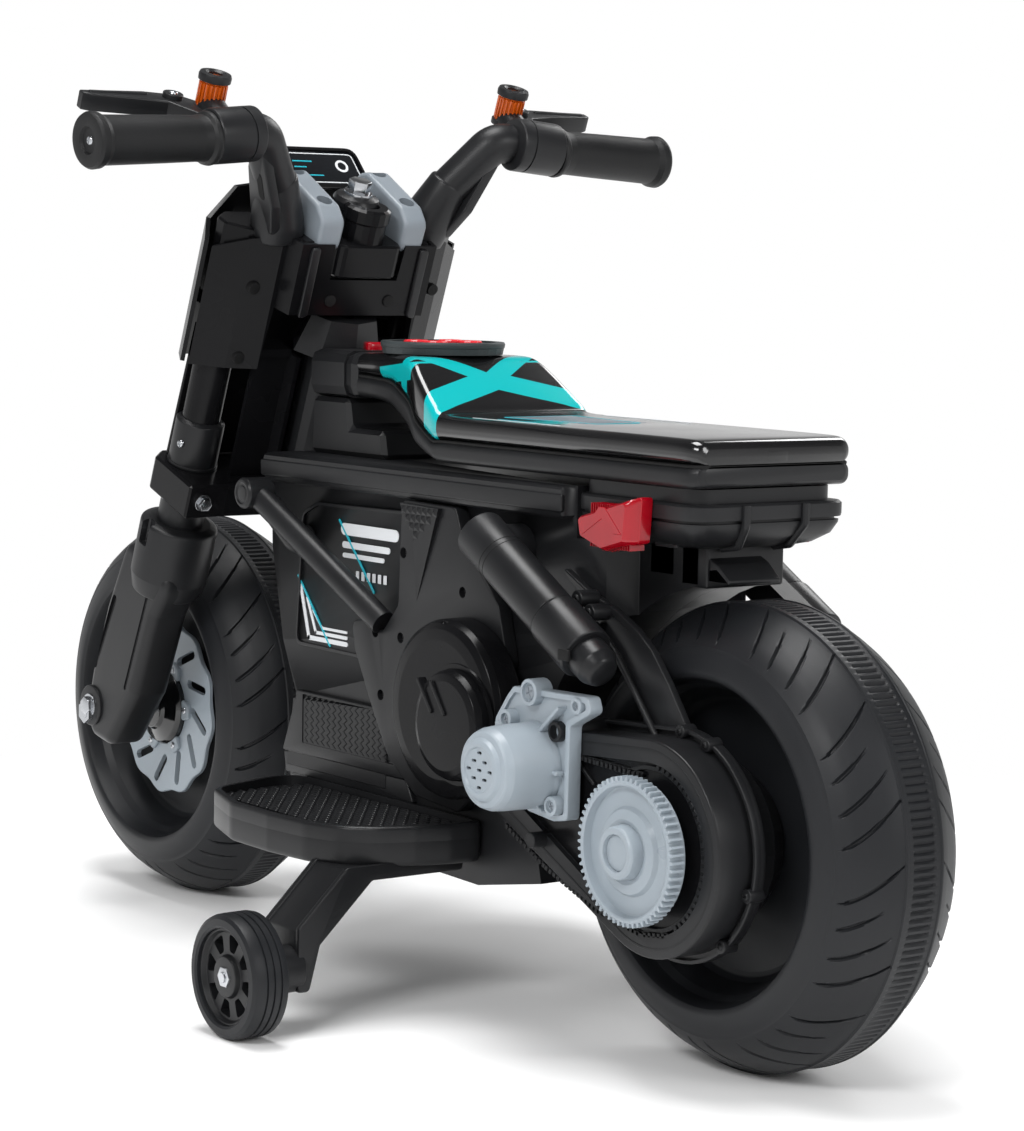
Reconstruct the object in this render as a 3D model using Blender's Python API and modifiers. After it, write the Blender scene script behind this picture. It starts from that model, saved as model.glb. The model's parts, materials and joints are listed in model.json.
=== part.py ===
"""Kids ride-on motorcycle: every piece at its real size, in metres.

+X is forward, +Y the rider's left and +Z up. The origin is on the ground, midway between the axles.
Pieces of the chassis are drawn from the rear axle, from the front axle or from the middle of the frame.
Pieces that steer are drawn in the steering frame: X ahead of the steering axis, Y left, Z up along it.
"""
import math

import bmesh
import bpy
from mathutils import Matrix, Vector

# Clearances
GAP = 0.0003  # between pieces that touch
RUNNING = 0.0004  # radial, a wheel on its axle
MERGE = 1e-6  # points this near each other are one

# Wheels
WHEEL_R = 0.140
WHEEL_STEPS = 28
WHEELBASE = 0.6366
TYRE_HALF_W = 0.0503
TYRE_CROWN_DROP = 0.0437  # height of the shoulder's curve
RIB_HALF_W = 0.0125  # centre band of the tread
RIB_STEP = 0.0016
LIP_R = 0.0946  # edge of the dish in the side of the wheel
LIP_Y = 0.0400
DISH_R = 0.0820
DISH_Y = 0.0160  # floor of the dish
DISH_ROUND = 0.0040
DISC_R = 0.0664
DISC_FACE_Y = 0.0337
DISC_THICK = 0.0030
DISC_HUB_R = 0.0240
DISC_HOLE_R = 0.0500
DISC_TABS = 6
NUT_TALL = 0.0065
AXLE_R = 0.0050
NUT_R = 0.0085
NUT_END_Y = 0.1027

# Steering
RAKE = math.radians(20.68)
AXLE_LEAD = 0.0717  # the steering axis runs this far behind the front axle, at its height
HEAD_R = 0.0220
STEM_R = 0.0080
LEG_Y = 0.0780
LEG_AHEAD = 0.0310
STANCHION_R = 0.0110
SLEEVE_R = 0.0165
LEG_INNER_Y = 0.0570
LEG_OUTER_Y = 0.0965
LOWER_CLAMP_S = 0.1650
LOWER_CLAMP_TALL = 0.0250
UPPER_CLAMP_S = 0.3480
UPPER_CLAMP_TALL = 0.0240
SHELL = 0.0030  # wall of the shroud and the cowl
SHROUD_BACK = -0.0135
RISER_Y = 0.0340
RISER_HALF_W = 0.0105
RISER_TALL = 0.0290
LEG_DEEP = 0.0580
LEG_TOP_S = 0.1240
LEG_SLANT = 0.0120
EAR_R = 0.0165
LEG_ROUND = 0.0080
BOSS_SUNK = 0.0060
STANCHION_S = 0.0900
SLEEVE_TALL = 0.0300
CLAMP_DEEP = 0.0240
CLAMP_EAR = 0.0380
CLAMP_BACK = 0.0060
CLAMP_CORNER = 0.0100
CLAMP_OUT_Y = 0.1000
COLLAR_R = 0.0165
COLLAR_TOP = 0.3960
UPPER_OUT_Y = 0.0940
NOTCH_Y = 0.0290
NOTCH_S = 0.3460
SHOULDER_S = 0.3716
CORNER_S = 0.3540
MIDDLE_LOW_S = 0.3200
WING_LOW_S = 0.2740
STEP_Y = 0.0580
SHROUD_WING = 0.0010
SHROUD_EDGE = 0.0260
SHROUD_OUT_Y = 0.1010
SHELF_S = 0.2840
CHANNEL_Y = 0.0305
CHANNEL_BACK = -0.0040
CHANNEL_MID = 0.0080
CHANNEL_FRONT = 0.0290
CHANNEL_OUT_Y = 0.0600
COWL_FRONT = 0.0800
COWL_LUG_S = 0.3000
LAMP_R = 0.0400
LAMP_S = 0.3250
LAMP_OUT = 0.0140
RISER_BACK = -0.0038
RISER_FRONT = 0.0468
DISPLAY_AHEAD = 0.0560
DISPLAY_S = 0.3880
DISPLAY_TILT = 33.0
DISPLAY_LONG = 0.0360
DISPLAY_HALF_W = 0.0350
DISPLAY_THICK = 0.0120
BAR_AHEAD = 0.0150
BAR_HALF = 0.0125
CORE_R = 0.0085
GRIP_CAP = 0.0030
PERCH_GROW = 0.0030
PERCH_TALL = 0.0080
SIGNAL_Y = 0.1220
SIGNAL_AHEAD = 0.0300
SIGNAL_SEAT = 0.0130
LEVER_AHEAD = 0.0440
LEVER_WIDE = 0.0100
LEVER_TIP_AHEAD = 0.0500
LEVER_TIP_Y = 0.2070
BAR_FOOT_Y = 0.0620
BAR_ELBOW_Y = 0.0920
BAR_RISE = 0.0620
GRIP_START_Y = 0.1410
GRIP_END_Y = 0.2350
GRIP_TALL = 0.0320
GRIP_DEEP = 0.0250
FLANGE_GROW = 0.0035
PERCH_START_Y = 0.1060
SIGNAL_R = 0.0118
SIGNAL_TALL = 0.0235

# Body
BODY_HALF_W = 0.0550
RAIL_OUT = 0.0090  # how far the tank's top rail stands out
TANK_TOP = 0.2010  # above the axles
RAIL_TALL = 0.0200
DECK_TOP = 0.1694  # rear deck, above the axles
WHEEL_ROOM = 0.0100  # between the tyre and the body
BELLY = -0.0600
COVER_THICK = 0.0097
ROUND_COVER_R = 0.0620
ROUND_COVER_Y = 0.0895
DISC_COVER_R = 0.0450
DISC_COVER_Y = 0.1000
STRUT_R = 0.0085
BATTERY = (0.0900, 0.0480, 0.0700)
BATTERY_LOW = -0.0300
ARCH_LOW = -0.0480
ARCH_END = 100.0
TAIL_FRONT = 0.1127
TAIL_HALF_W = 0.0600
LAMP_MID = 0.1860
LAMP_THICK = 0.0170
STRUT_OUT = 0.0200
HEAD_BLOCK_Y = 0.0360
HEAD_WEB_S = 0.2325
HEAD_CAP_S = 0.2890
HEAD_TOP_S = 0.3155
HEAD_CAP_WIDE = 1.4
KNOB_LOW = 0.2400
KNOB_LONG = 0.0400
NECK_RING = 0.0160
NECK_END = -0.2573
SEAT_OVERHANG = 0.0052
PAD_BACK = 0.0450
SHOCK_Y = 0.0920
SHOCK_R = 0.0135
SHOCK_SLEEVE_R = 0.0175
PIN_R = 0.0035

# Seat
SEAT_HALF_W = 0.0625
SEAT_FLAT = 0.2360  # above the axles
SEAT_SEAM = 0.2200
SEAT_BOTTOM = 0.2065
NECK_TOP = 0.2720
NECK_HALF_W = 0.0380
PAD_R = 0.0410
PAD_THICK = 0.0070
BUTTON_R = 0.0085
BUTTON_OUT = 0.0022
BUTTON_X = 0.0110
BUTTON_Y = 0.0140
BUTTON_ROOM = 0.0004
BUTTON_TRAVEL = 0.0015

# Drive
CASE_IN_Y = 0.0560
CASE_FACE_Y = 0.0800
CASE_R = 0.0690
SPROCKET_R = 0.0438
SPROCKET_Y = 0.1041
SPROCKET_THICK = 0.0100
SPROCKET_TEETH = 60
TOOTH_TALL = 0.0024
BRACKET_FACE_Y = 0.0960
MOTOR_R = 0.0250
MOTOR_END_Y = 0.1360
GEARBOX_R = 0.0520
CASE_NOSE = 0.1535
CASE_INSET = 0.0080
BELT_FACE_Y = 0.0860
BELT_INSET = 0.0050
BELT_THICK = 0.0030
BELT_PITCH = 0.0095
GUARD_OUT_Y = 0.0720
ARM_HALF = 0.0100
ARM_OUT_Y = 0.0760
ARM_ROOT_R = 0.0260
HUB_FACE_Y = 0.1108
HUB_RING_R = 0.0139

# Footboards and training wheels
BOARD_TOP = -0.0200  # from the axles
BOARD_THICK = 0.0200
BOARD_OUT_Y = 0.1420
BOARD_RIM = 0.0040
BOARD_DEEP = 0.0038
TRAINING_X = -0.0930
TRAINING_R = 0.0388
TRAINING_W = 0.0270
TRAINING_OUT_Y = 0.2351
SPINDLE_R = 0.0040
ARM_THICK = 0.0080
WINDOWS = 8
ARM_GAP = 0.0006
TRAINING_RECESS = 0.0070
WINDOW_DEEP = 0.0100
PEDAL_X = 0.0100
PEDAL_Y = 0.0980
PEDAL_HALF_W = 0.0240
PEDAL_BARREL = 0.0030
PEDAL_PIN_R = 0.0018
PEDAL_LONG = 0.0550
PEDAL_RISE = 12.0

# Derived places
AXLE_Z = WHEEL_R
FRONT_X = WHEELBASE / 2
REAR_X = -WHEELBASE / 2
STEER_X = FRONT_X - AXLE_LEAD
HUB_T = AXLE_LEAD * math.cos(RAKE)
HUB_S = -AXLE_LEAD * math.sin(RAKE)
COVER_Y = BODY_HALF_W + GAP + COVER_THICK
UPPER_CLAMP_TOP = UPPER_CLAMP_S + UPPER_CLAMP_TALL
GRIP_S = UPPER_CLAMP_TOP + GAP + BAR_RISE + BAR_HALF / 3

# Objects
for old in list(bpy.data.objects):
    bpy.data.objects.remove(old)

PARTS = bpy.data.collections.new("ride_on_motorcycle")
TOOLS = bpy.data.collections.new("cutters")
bpy.context.scene.collection.children.link(PARTS)
bpy.context.scene.collection.children.link(TOOLS)


def finish_of(name, colour, roughness, metallic=0.0, alpha=1.0):
    """A plain Principled material."""
    material = bpy.data.materials.new(name)
    material.use_nodes = True
    shader = material.node_tree.nodes["Principled BSDF"]
    shader.inputs["Base Color"].default_value = (*colour, 1.0)
    shader.inputs["Roughness"].default_value = roughness
    shader.inputs["Metallic"].default_value = metallic
    shader.inputs["Alpha"].default_value = alpha
    material.diffuse_color = (*colour, 1.0)
    return material


SATIN = finish_of("satin_black", (0.030, 0.031, 0.033), 0.45)
GLOSS = finish_of("gloss_black", (0.010, 0.010, 0.011), 0.12)
TYRE = finish_of("tyre_black", (0.022, 0.023, 0.025), 0.62)
GREY = finish_of("light_grey", (0.36, 0.41, 0.45), 0.35)
DARK_GREY = finish_of("slate_grey", (0.19, 0.22, 0.25), 0.40)
RUBBER = finish_of("grip_black", (0.018, 0.018, 0.019), 0.60)
RED = finish_of("red_button", (0.75, 0.02, 0.03), 0.35)
RED_LENS = finish_of("red_lens", (0.55, 0.01, 0.03), 0.15)
AMBER = finish_of("amber_lens", (0.85, 0.25, 0.02), 0.15)
PAD_GREEN = finish_of("pad_green", (0.045, 0.060, 0.062), 0.50)
CLEAR = finish_of("clear_lens", (0.80, 0.82, 0.85), 0.08)
STEEL = finish_of("zinc_steel", (0.60, 0.62, 0.64), 0.30, 1.0)


def empty_at(name, matrix):
    """A joint's axis, for the pieces that turn on it."""
    pivot = bpy.data.objects.new(name, None)
    PARTS.objects.link(pivot)
    pivot.matrix_world = matrix
    return pivot


STEER = Matrix.Translation((STEER_X, 0.0, AXLE_Z)) @ Matrix.Rotation(-RAKE, 4, "Y")
STEERING = empty_at("steering_axis", STEER)
FRONT_HUB = empty_at("front_wheel_axis", Matrix.Translation((FRONT_X, 0.0, AXLE_Z)))
REAR_HUB = empty_at("rear_wheel_axis", Matrix.Translation((REAR_X, 0.0, AXLE_Z)))


# Outlines
def rear(dx, dz):
    """A point of a side view, from the rear axle."""
    return REAR_X + dx, AXLE_Z + dz


def front(dx, dz):
    """A point of a side view, from the front axle."""
    return FRONT_X + dx, AXLE_Z + dz


def mid(x, dz):
    """A point of a side view, from the middle of the frame at the axles' height."""
    return x, AXLE_Z + dz


def arc(centre, radius, start, end, steps):
    """Points along an arc, angles in degrees."""
    angles = [math.radians(start + (end - start) * i / steps) for i in range(steps + 1)]
    return [(centre[0] + radius * math.cos(a), centre[1] + radius * math.sin(a)) for a in angles]


def rounded(points, radius, steps=3):
    """The outline with each corner rounded as far as its sides allow."""
    out = []
    for i, corner in enumerate(points):
        here = Vector(corner)
        back = Vector(points[i - 1]) - here
        on = Vector(points[(i + 1) % len(points)]) - here
        turn = back.angle(on)
        reach = min(radius / math.tan(turn / 2), 0.45 * back.length, 0.45 * on.length)
        if math.pi - turn < 0.12:
            out.append(tuple(here))
            continue
        first = here + back.normalized() * reach
        last = here + on.normalized() * reach
        for step in range(steps + 1):
            share = step / steps
            curve = first * (1 - share) ** 2 + here * 2 * share * (1 - share) + last * share**2
            out.append(tuple(curve))
    return out


def capsule(start, end, radius, steps=5):
    """The outline of a slot with round ends."""
    along = Vector(end) - Vector(start)
    heading = math.degrees(math.atan2(along.y, along.x))
    return arc(end, radius, heading - 90, heading + 90, steps) + arc(start, radius, heading + 90, heading + 270, steps)


def mirrored_outline(points):
    """A half outline and its mirror image, for a flat shape drawn as (ahead, left)."""
    return points + [(u, -v) for u, v in reversed(points) if abs(v) > GAP / 10]


# Solids
def face_out(work):
    """Turn every face of a closed shape outwards."""
    bmesh.ops.recalc_face_normals(work, faces=work.faces)
    if work.calc_volume(signed=True) < 0:
        bmesh.ops.reverse_faces(work, faces=work.faces)


def clean(mesh):
    """Merge the points that meet, and face everything outwards."""
    work = bmesh.new()
    work.from_mesh(mesh)
    bmesh.ops.remove_doubles(work, verts=work.verts, dist=MERGE)
    face_out(work)
    work.to_mesh(mesh)
    work.free()
    return mesh


def evaluated(obj):
    """The object's mesh as its modifiers make it."""
    bpy.context.view_layer.update()
    graph = bpy.context.evaluated_depsgraph_get()
    return bpy.data.meshes.new_from_object(obj.evaluated_get(graph))


def add(name, mesh, material, parent=None):
    """A new piece. One that has a parent is drawn in the parent's frame."""
    obj = bpy.data.objects.new(name, mesh)
    mesh.materials.clear()
    mesh.materials.append(material)
    mesh.shade_smooth()
    mesh.set_sharp_from_angle(angle=math.radians(35))
    PARTS.objects.link(obj)
    obj.parent = parent
    return obj


def extrusion(outline, low, high, axes="XZY"):
    """A flat outline drawn in the first two axes, and thick from low to high along the third."""
    curve = bpy.data.curves.new("outline", "CURVE")
    curve.dimensions = "2D"
    curve.fill_mode = "BOTH"
    curve.extrude = (high - low) / 2
    spline = curve.splines.new("POLY")
    spline.points.add(len(outline) - 1)
    for point, place in zip(spline.points, outline):
        point.co = (place[0], place[1], 0.0, 1.0)
    spline.use_cyclic_u = True
    guide = bpy.data.objects.new("outline", curve)
    TOOLS.objects.link(guide)
    mesh = evaluated(guide)
    bpy.data.objects.remove(guide)
    turn = Matrix.Identity(3)
    for column, axis in enumerate(axes):
        turn.col[column] = Vector([float(axis == other) for other in "XYZ"])
    middle = Vector([(low + high) / 2 if axis == axes[2] else 0.0 for axis in "XYZ"])
    mesh.transform(Matrix.Translation(middle) @ turn.to_4x4())
    work = bmesh.new()
    work.from_mesh(mesh)
    bmesh.ops.remove_doubles(work, verts=work.verts, dist=MERGE)
    bmesh.ops.dissolve_limit(work, angle_limit=math.radians(0.5), verts=work.verts, edges=work.edges)
    face_out(work)
    work.to_mesh(mesh)
    work.free()
    return mesh


def bevelled(mesh, width, segments=1, above=40):
    """Round every edge sharper than the angle."""
    work = bmesh.new()
    work.from_mesh(mesh)
    sharp = [edge for edge in work.edges if edge.calc_face_angle(0) > math.radians(above)]
    bmesh.ops.bevel(
        work, geom=sharp, offset=width, segments=segments, profile=0.5, affect="EDGES", clamp_overlap=True
    )
    work.to_mesh(mesh)
    work.free()
    return clean(mesh)


def turned(profile, steps, centre=(0.0, 0.0, 0.0), axis="Y", closed=False):
    """A profile of (radius, along) points turned about an axis. A closed one leaves its bore open."""
    mesh = bpy.data.meshes.new("profile")
    edges = [(i, i + 1) for i in range(len(profile) - 1)]
    if closed:
        edges.append((len(profile) - 1, 0))
    mesh.from_pydata([(radius, 0.0, along) for radius, along in profile], edges, [])
    guide = bpy.data.objects.new("profile", mesh)
    TOOLS.objects.link(guide)
    screw = guide.modifiers.new("turn", "SCREW")
    screw.steps = screw.render_steps = steps
    screw.use_merge_vertices = True
    screw.merge_threshold = 10 * MERGE
    solid = evaluated(guide)
    bpy.data.objects.remove(guide)
    upright = {"Y": Matrix.Rotation(-math.pi / 2, 4, "X"), "X": Matrix.Rotation(math.pi / 2, 4, "Y")}
    solid.transform(Matrix.Translation(centre) @ upright.get(axis, Matrix.Identity(4)))
    return clean(solid)


def rod(start, end, radius, sides=12):
    """A cylinder from one point to another."""
    first, last = Vector(start), Vector(end)
    along = last - first
    work = bmesh.new()
    place = Matrix.Translation((first + last) / 2) @ along.to_track_quat("Z", "Y").to_matrix().to_4x4()
    bmesh.ops.create_cone(
        work, cap_ends=True, segments=sides, radius1=radius, radius2=radius, depth=along.length, matrix=place
    )
    mesh = bpy.data.meshes.new("rod")
    work.to_mesh(mesh)
    work.free()
    return mesh


def block(low, high):
    """A box from its lowest to its highest corner."""
    low, high = Vector(low), Vector(high)
    work = bmesh.new()
    size = Matrix.Diagonal((*(high - low), 1.0))
    bmesh.ops.create_cube(work, size=1.0, matrix=Matrix.Translation((low + high) / 2) @ size)
    mesh = bpy.data.meshes.new("block")
    work.to_mesh(mesh)
    work.free()
    return mesh


def pipe(points, radius, sides=2):
    """A round bar along a bent line, with its ends closed."""
    curve = bpy.data.curves.new("pipe", "CURVE")
    curve.dimensions = "3D"
    curve.bevel_depth = radius
    curve.bevel_resolution = sides
    curve.use_fill_caps = True
    spline = curve.splines.new("POLY")
    spline.points.add(len(points) - 1)
    for point, place in zip(spline.points, points):
        point.co = (*place, 1.0)
    guide = bpy.data.objects.new("pipe", curve)
    TOOLS.objects.link(guide)
    mesh = evaluated(guide)
    bpy.data.objects.remove(guide)
    return clean(mesh)


def loft(rings):
    """A skin over rings of equal count, closed at both ends."""
    work = bmesh.new()
    made = [[work.verts.new(point) for point in ring] for ring in rings]
    count = len(rings[0])
    for first, second in zip(made, made[1:]):
        for i in range(count):
            j = (i + 1) % count
            work.faces.new((first[i], first[j], second[j], second[i]))
    work.faces.new(made[0])
    work.faces.new(list(reversed(made[-1])))
    mesh = bpy.data.meshes.new("loft")
    work.to_mesh(mesh)
    work.free()
    return clean(mesh)


def sheet(columns, rows, wall, side):
    """A wall over columns of (ahead, left, bottom, top). It grows ahead for side -1, and back for side 1."""
    work = bmesh.new()
    grid = []
    for ahead, left, bottom, top in columns:
        heights = [bottom + (top - bottom) * i / rows for i in range(rows + 1)]
        grid.append([work.verts.new((ahead, left, height)) for height in heights])
    for first, second in zip(grid, grid[1:]):
        for i in range(rows):
            work.faces.new((first[i], first[i + 1], second[i + 1], second[i]))
    mesh = bpy.data.meshes.new("sheet")
    work.to_mesh(mesh)
    work.free()
    guide = bpy.data.objects.new("sheet", mesh)
    TOOLS.objects.link(guide)
    solidify = guide.modifiers.new("wall", "SOLIDIFY")
    solidify.thickness = wall
    solidify.offset = side
    solidify.use_even_offset = True
    solid = evaluated(guide)
    bpy.data.objects.remove(guide)
    return clean(solid)


def tool(mesh, parent):
    """A helper for a Boolean, kept out of the part."""
    helper = bpy.data.objects.new("cutter", mesh)
    TOOLS.objects.link(helper)
    helper.parent = parent
    helper.hide_render = True
    helper.display_type = "WIRE"
    return helper


def combine(obj, mesh, operation):
    """Cut the shape from the piece, or join it on."""
    change = obj.modifiers.new(operation.lower(), "BOOLEAN")
    change.operation = operation
    change.use_self = True
    change.object = tool(mesh, obj.parent)
    return obj


def cut(obj, mesh):
    return combine(obj, mesh, "DIFFERENCE")


def join(obj, mesh):
    return combine(obj, mesh, "UNION")


def mirror(obj):
    """The right-hand twin of a left-hand piece."""
    mesh = evaluated(obj)
    mesh.transform(Matrix.Scale(-1.0, 4, (0.0, 1.0, 0.0)))
    mesh.flip_normals()
    return add(obj.name.replace("left", "right"), mesh, obj.data.materials[0], obj.parent)


# Wheels
def wheel_profile():
    """The blow-moulded tyre and rim: tread band, shoulders, lip and dish, with an open bore."""
    half = [(WHEEL_R, RIB_HALF_W), (WHEEL_R - RIB_STEP, RIB_HALF_W + RIB_STEP)]
    for share in (0.50, 0.78, 0.94, 1.0):
        drop = TYRE_CROWN_DROP * (1 - math.sqrt(1 - share * share))
        half.append((WHEEL_R - RIB_STEP - 0.9 * drop, TYRE_HALF_W * share))
    half += [(LIP_R, LIP_Y), (DISH_R, DISH_Y), (AXLE_R + RUNNING, DISH_Y)]
    return half + [(radius, -along) for radius, along in reversed(half)]


def brake_disc():
    """Ring on a spider, in the front wheel's dish."""
    bore = AXLE_R + RUNNING
    seat = DISH_Y + GAP
    back = DISC_FACE_Y - DISC_THICK
    profile = [(DISC_R, DISC_FACE_Y), (DISC_R, back), (DISC_HUB_R, back), (DISC_HUB_R, seat)]
    mesh = turned(profile + [(bore, seat), (bore, DISC_FACE_Y)], 24, closed=True)
    disc = add("brake_disc_left", mesh, GREY, FRONT_HUB)
    inner = DISC_HUB_R + 2 * DISC_THICK
    for i in range(DISC_TABS):
        turn = 360.0 * i / DISC_TABS
        spread = 0.32 * 360.0 / DISC_TABS
        hole = arc((0, 0), DISC_HOLE_R, turn - spread, turn + spread, 2)
        hole += arc((0, 0), inner, turn + spread * 0.8, turn - spread * 0.8, 1)
        cut(disc, extrusion(hole, back - DISC_THICK, DISC_FACE_Y + DISC_THICK))
    mirror(disc)


def axle(name, hub, left_end, right_end):
    """A steel axle."""
    return add(name, rod((0.0, right_end, 0.0), (0.0, left_end, 0.0), AXLE_R, 12), STEEL, hub)


def nut(y_in, y_out):
    """A six-sided lock nut on an axle."""
    return rod((0.0, y_in, 0.0), (0.0, y_out, 0.0), NUT_R, 6)


def build_wheels():
    for name, hub in (("front_wheel", FRONT_HUB), ("rear_wheel", REAR_HUB)):
        add(name, turned(wheel_profile(), WHEEL_STEPS, closed=True), TYRE, hub)
    brake_disc()
    front_axle = axle("front_axle", FRONT_HUB, NUT_END_Y, -NUT_END_Y)
    for side in (1, -1):
        join(front_axle, nut(side * (LEG_OUTER_Y - BOSS_SUNK + GAP), side * (NUT_END_Y - GAP)))
    rear_axle = axle("rear_axle", REAR_HUB, SPROCKET_Y - SPROCKET_THICK - GAP, -ARM_OUT_Y - NUT_TALL)
    join(rear_axle, nut(-ARM_OUT_Y - GAP, -ARM_OUT_Y - NUT_TALL + GAP))


# Fork
def build_legs():
    """Lower legs: a tall blade that takes the stanchion, and an ear ahead of it for the axle."""
    blade = [
        (LEG_AHEAD - LEG_DEEP / 2, LEG_TOP_S),
        (LEG_AHEAD + LEG_DEEP / 2, LEG_TOP_S + LEG_SLANT),
        (LEG_AHEAD + LEG_DEEP / 2 + LEG_SLANT / 2, HUB_S + 1.6 * EAR_R),
        (LEG_AHEAD + LEG_DEEP * 0.12, HUB_S - 1.5 * EAR_R),
        (LEG_AHEAD - LEG_DEEP * 0.22, HUB_S - 1.1 * EAR_R),
        (LEG_AHEAD - LEG_DEEP / 2, LEG_TOP_S * 0.55),
    ]
    mesh = extrusion(rounded(blade, 0.4 * EAR_R, 2), LEG_INNER_Y, LEG_OUTER_Y)
    leg = add("fork_leg_left", bevelled(mesh, LEG_ROUND), SATIN, STEERING)
    ear = capsule((HUB_T, HUB_S), (LEG_AHEAD, HUB_S + EAR_R / 2), EAR_R)
    join(leg, extrusion(ear, LEG_INNER_Y + BOSS_SUNK, LEG_OUTER_Y - BOSS_SUNK))
    cut(leg, rod((HUB_T, 0.0, HUB_S), (HUB_T, 2 * LEG_Y, HUB_S), AXLE_R + GAP, 16))
    cut(leg, rod((LEG_AHEAD, LEG_Y, STANCHION_S), (LEG_AHEAD, LEG_Y, UPPER_CLAMP_S), STANCHION_R + GAP, 14))
    mirror(leg)


def build_stanchions():
    """Tubes from the upper clamp into the legs, with a sleeve above the lower clamp."""
    top = UPPER_CLAMP_S - GAP
    clamp_top = LOWER_CLAMP_S + LOWER_CLAMP_TALL + GAP
    profile = [(0.0, top), (STANCHION_R, top), (STANCHION_R, clamp_top + SLEEVE_TALL)]
    profile += [(SLEEVE_R, clamp_top + SLEEVE_TALL - GAP), (SLEEVE_R, clamp_top), (STANCHION_R, clamp_top)]
    profile += [(STANCHION_R, STANCHION_S + GAP), (0.0, STANCHION_S + GAP)]
    tube = turned(profile, 14, (LEG_AHEAD, LEG_Y, 0.0), axis="Z")
    mirror(add("stanchion_left", tube, SATIN, STEERING))


def build_lower_clamp():
    """The bracket that ties both fork tubes and the stem together."""
    half = [
        (LEG_AHEAD + CLAMP_DEEP, 0.0),
        (LEG_AHEAD + CLAMP_DEEP, CLAMP_OUT_Y - CLAMP_CORNER),
        (LEG_AHEAD + CLAMP_DEEP - CLAMP_CORNER, CLAMP_OUT_Y),
        (LEG_AHEAD - CLAMP_EAR, CLAMP_OUT_Y),
        (LEG_AHEAD - CLAMP_EAR, LEG_Y + CLAMP_CORNER),
        (-CLAMP_BACK, LEG_Y - CLAMP_CORNER),
        (-CLAMP_BACK, STEM_R * 2),
        (-CLAMP_BACK - CLAMP_CORNER, STEM_R),
    ]
    top = LOWER_CLAMP_S + LOWER_CLAMP_TALL
    mesh = bevelled(extrusion(mirrored_outline(half), LOWER_CLAMP_S, top, "XYZ"), 0.0015)
    clamp = add("lower_clamp", mesh, GLOSS, STEERING)
    low, high = LOWER_CLAMP_S - STEM_R, top + STEM_R
    for side in (1, -1):
        cut(clamp, rod((LEG_AHEAD, side * LEG_Y, low), (LEG_AHEAD, side * LEG_Y, high), STANCHION_R + GAP, 14))
    cut(clamp, rod((0.0, 0.0, low), (0.0, 0.0, high), STEM_R + GAP, 16))


def build_stem():
    """Long steel bolt through the clamps and the head tube."""
    head = COLLAR_TOP + GAP
    stem = add("steering_stem", rod((0, 0, LOWER_CLAMP_S - NUT_TALL), (0, 0, head + GAP), STEM_R, 16), STEEL, STEERING)
    join(stem, rod((0, 0, head), (0, 0, head + STEM_R * 0.7), STEM_R * 1.15, 6))
    join(stem, rod((0, 0, LOWER_CLAMP_S - NUT_TALL), (0, 0, LOWER_CLAMP_S - GAP), STEM_R * 1.6, 6))


def build_upper_clamp():
    """Top plate that carries the bars, the risers and the stem's collar."""
    half = [
        (LEG_AHEAD + STANCHION_R * 1.5, 0.0),
        (LEG_AHEAD + STANCHION_R * 1.5, UPPER_OUT_Y - CLAMP_CORNER),
        (LEG_AHEAD + STANCHION_R * 0.6, UPPER_OUT_Y),
        (SHROUD_EDGE + GAP, UPPER_OUT_Y),
        (SHROUD_WING + 4.8 * SHELL, 0.8 * SHROUD_OUT_Y),
        (SHROUD_WING + SHELL + 2 * GAP, STEP_Y - SHELL),
        (SHROUD_BACK + SHELL + 2 * GAP, STEP_Y - 2 * SHELL - 2 * GAP),
        (SHROUD_BACK + SHELL + 2 * GAP, NOTCH_Y - SHELL),
        (SHROUD_BACK, NOTCH_Y - 1.5 * SHELL),
        (SHROUD_BACK - SHELL, NOTCH_Y - 2.5 * SHELL),
    ]
    mesh = extrusion(mirrored_outline(half), UPPER_CLAMP_S, UPPER_CLAMP_TOP, "XYZ")
    clamp = add("upper_clamp", bevelled(mesh, 0.0015), SATIN, STEERING)
    middle = 0.6 * COLLAR_TOP + 0.4 * UPPER_CLAMP_TOP
    collar = [(0.0, COLLAR_TOP), (COLLAR_R * 0.85, COLLAR_TOP), (COLLAR_R, COLLAR_TOP - SHELL / 2)]
    collar += [(COLLAR_R, middle), (COLLAR_R * 0.92, middle - SHELL / 2), (COLLAR_R * 0.92, UPPER_CLAMP_S + SHELL)]
    collar.append((0.0, UPPER_CLAMP_S + SHELL))
    join(clamp, turned(collar, 20, axis="Z"))
    cut(clamp, rod((0, 0, UPPER_CLAMP_S - STEM_R), (0, 0, COLLAR_TOP + STEM_R), STEM_R + GAP, 16))


def build_risers():
    """Grey clamps on each side of the stem, with two deep screw holes."""
    low = UPPER_CLAMP_TOP + GAP
    outline = capsule((RISER_BACK, RISER_Y), (RISER_FRONT, RISER_Y), RISER_HALF_W, 4)
    mesh = bevelled(extrusion(outline, low, low + RISER_TALL, "XYZ"), 0.0015)
    riser = add("riser_left", mesh, DARK_GREY, STEERING)
    arch = [(RISER_BACK + 1.2 * RISER_HALF_W, low), (RISER_FRONT, low + 0.55 * RISER_TALL)]
    arch += [(RISER_FRONT + 2 * RISER_HALF_W, low + 0.55 * RISER_TALL), (RISER_FRONT + 2 * RISER_HALF_W, low - GAP)]
    cut(riser, extrusion(arch + [(RISER_BACK + 1.2 * RISER_HALF_W, low - GAP)], 0.0, 2 * RISER_Y))
    for ahead in (RISER_BACK, RISER_FRONT):
        hole_r = 0.42 * RISER_HALF_W
        cut(riser, rod((ahead, RISER_Y, low + 0.7 * RISER_TALL), (ahead, RISER_Y, low + 2 * RISER_TALL), hole_r, 8))
    mirror(riser)


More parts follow.
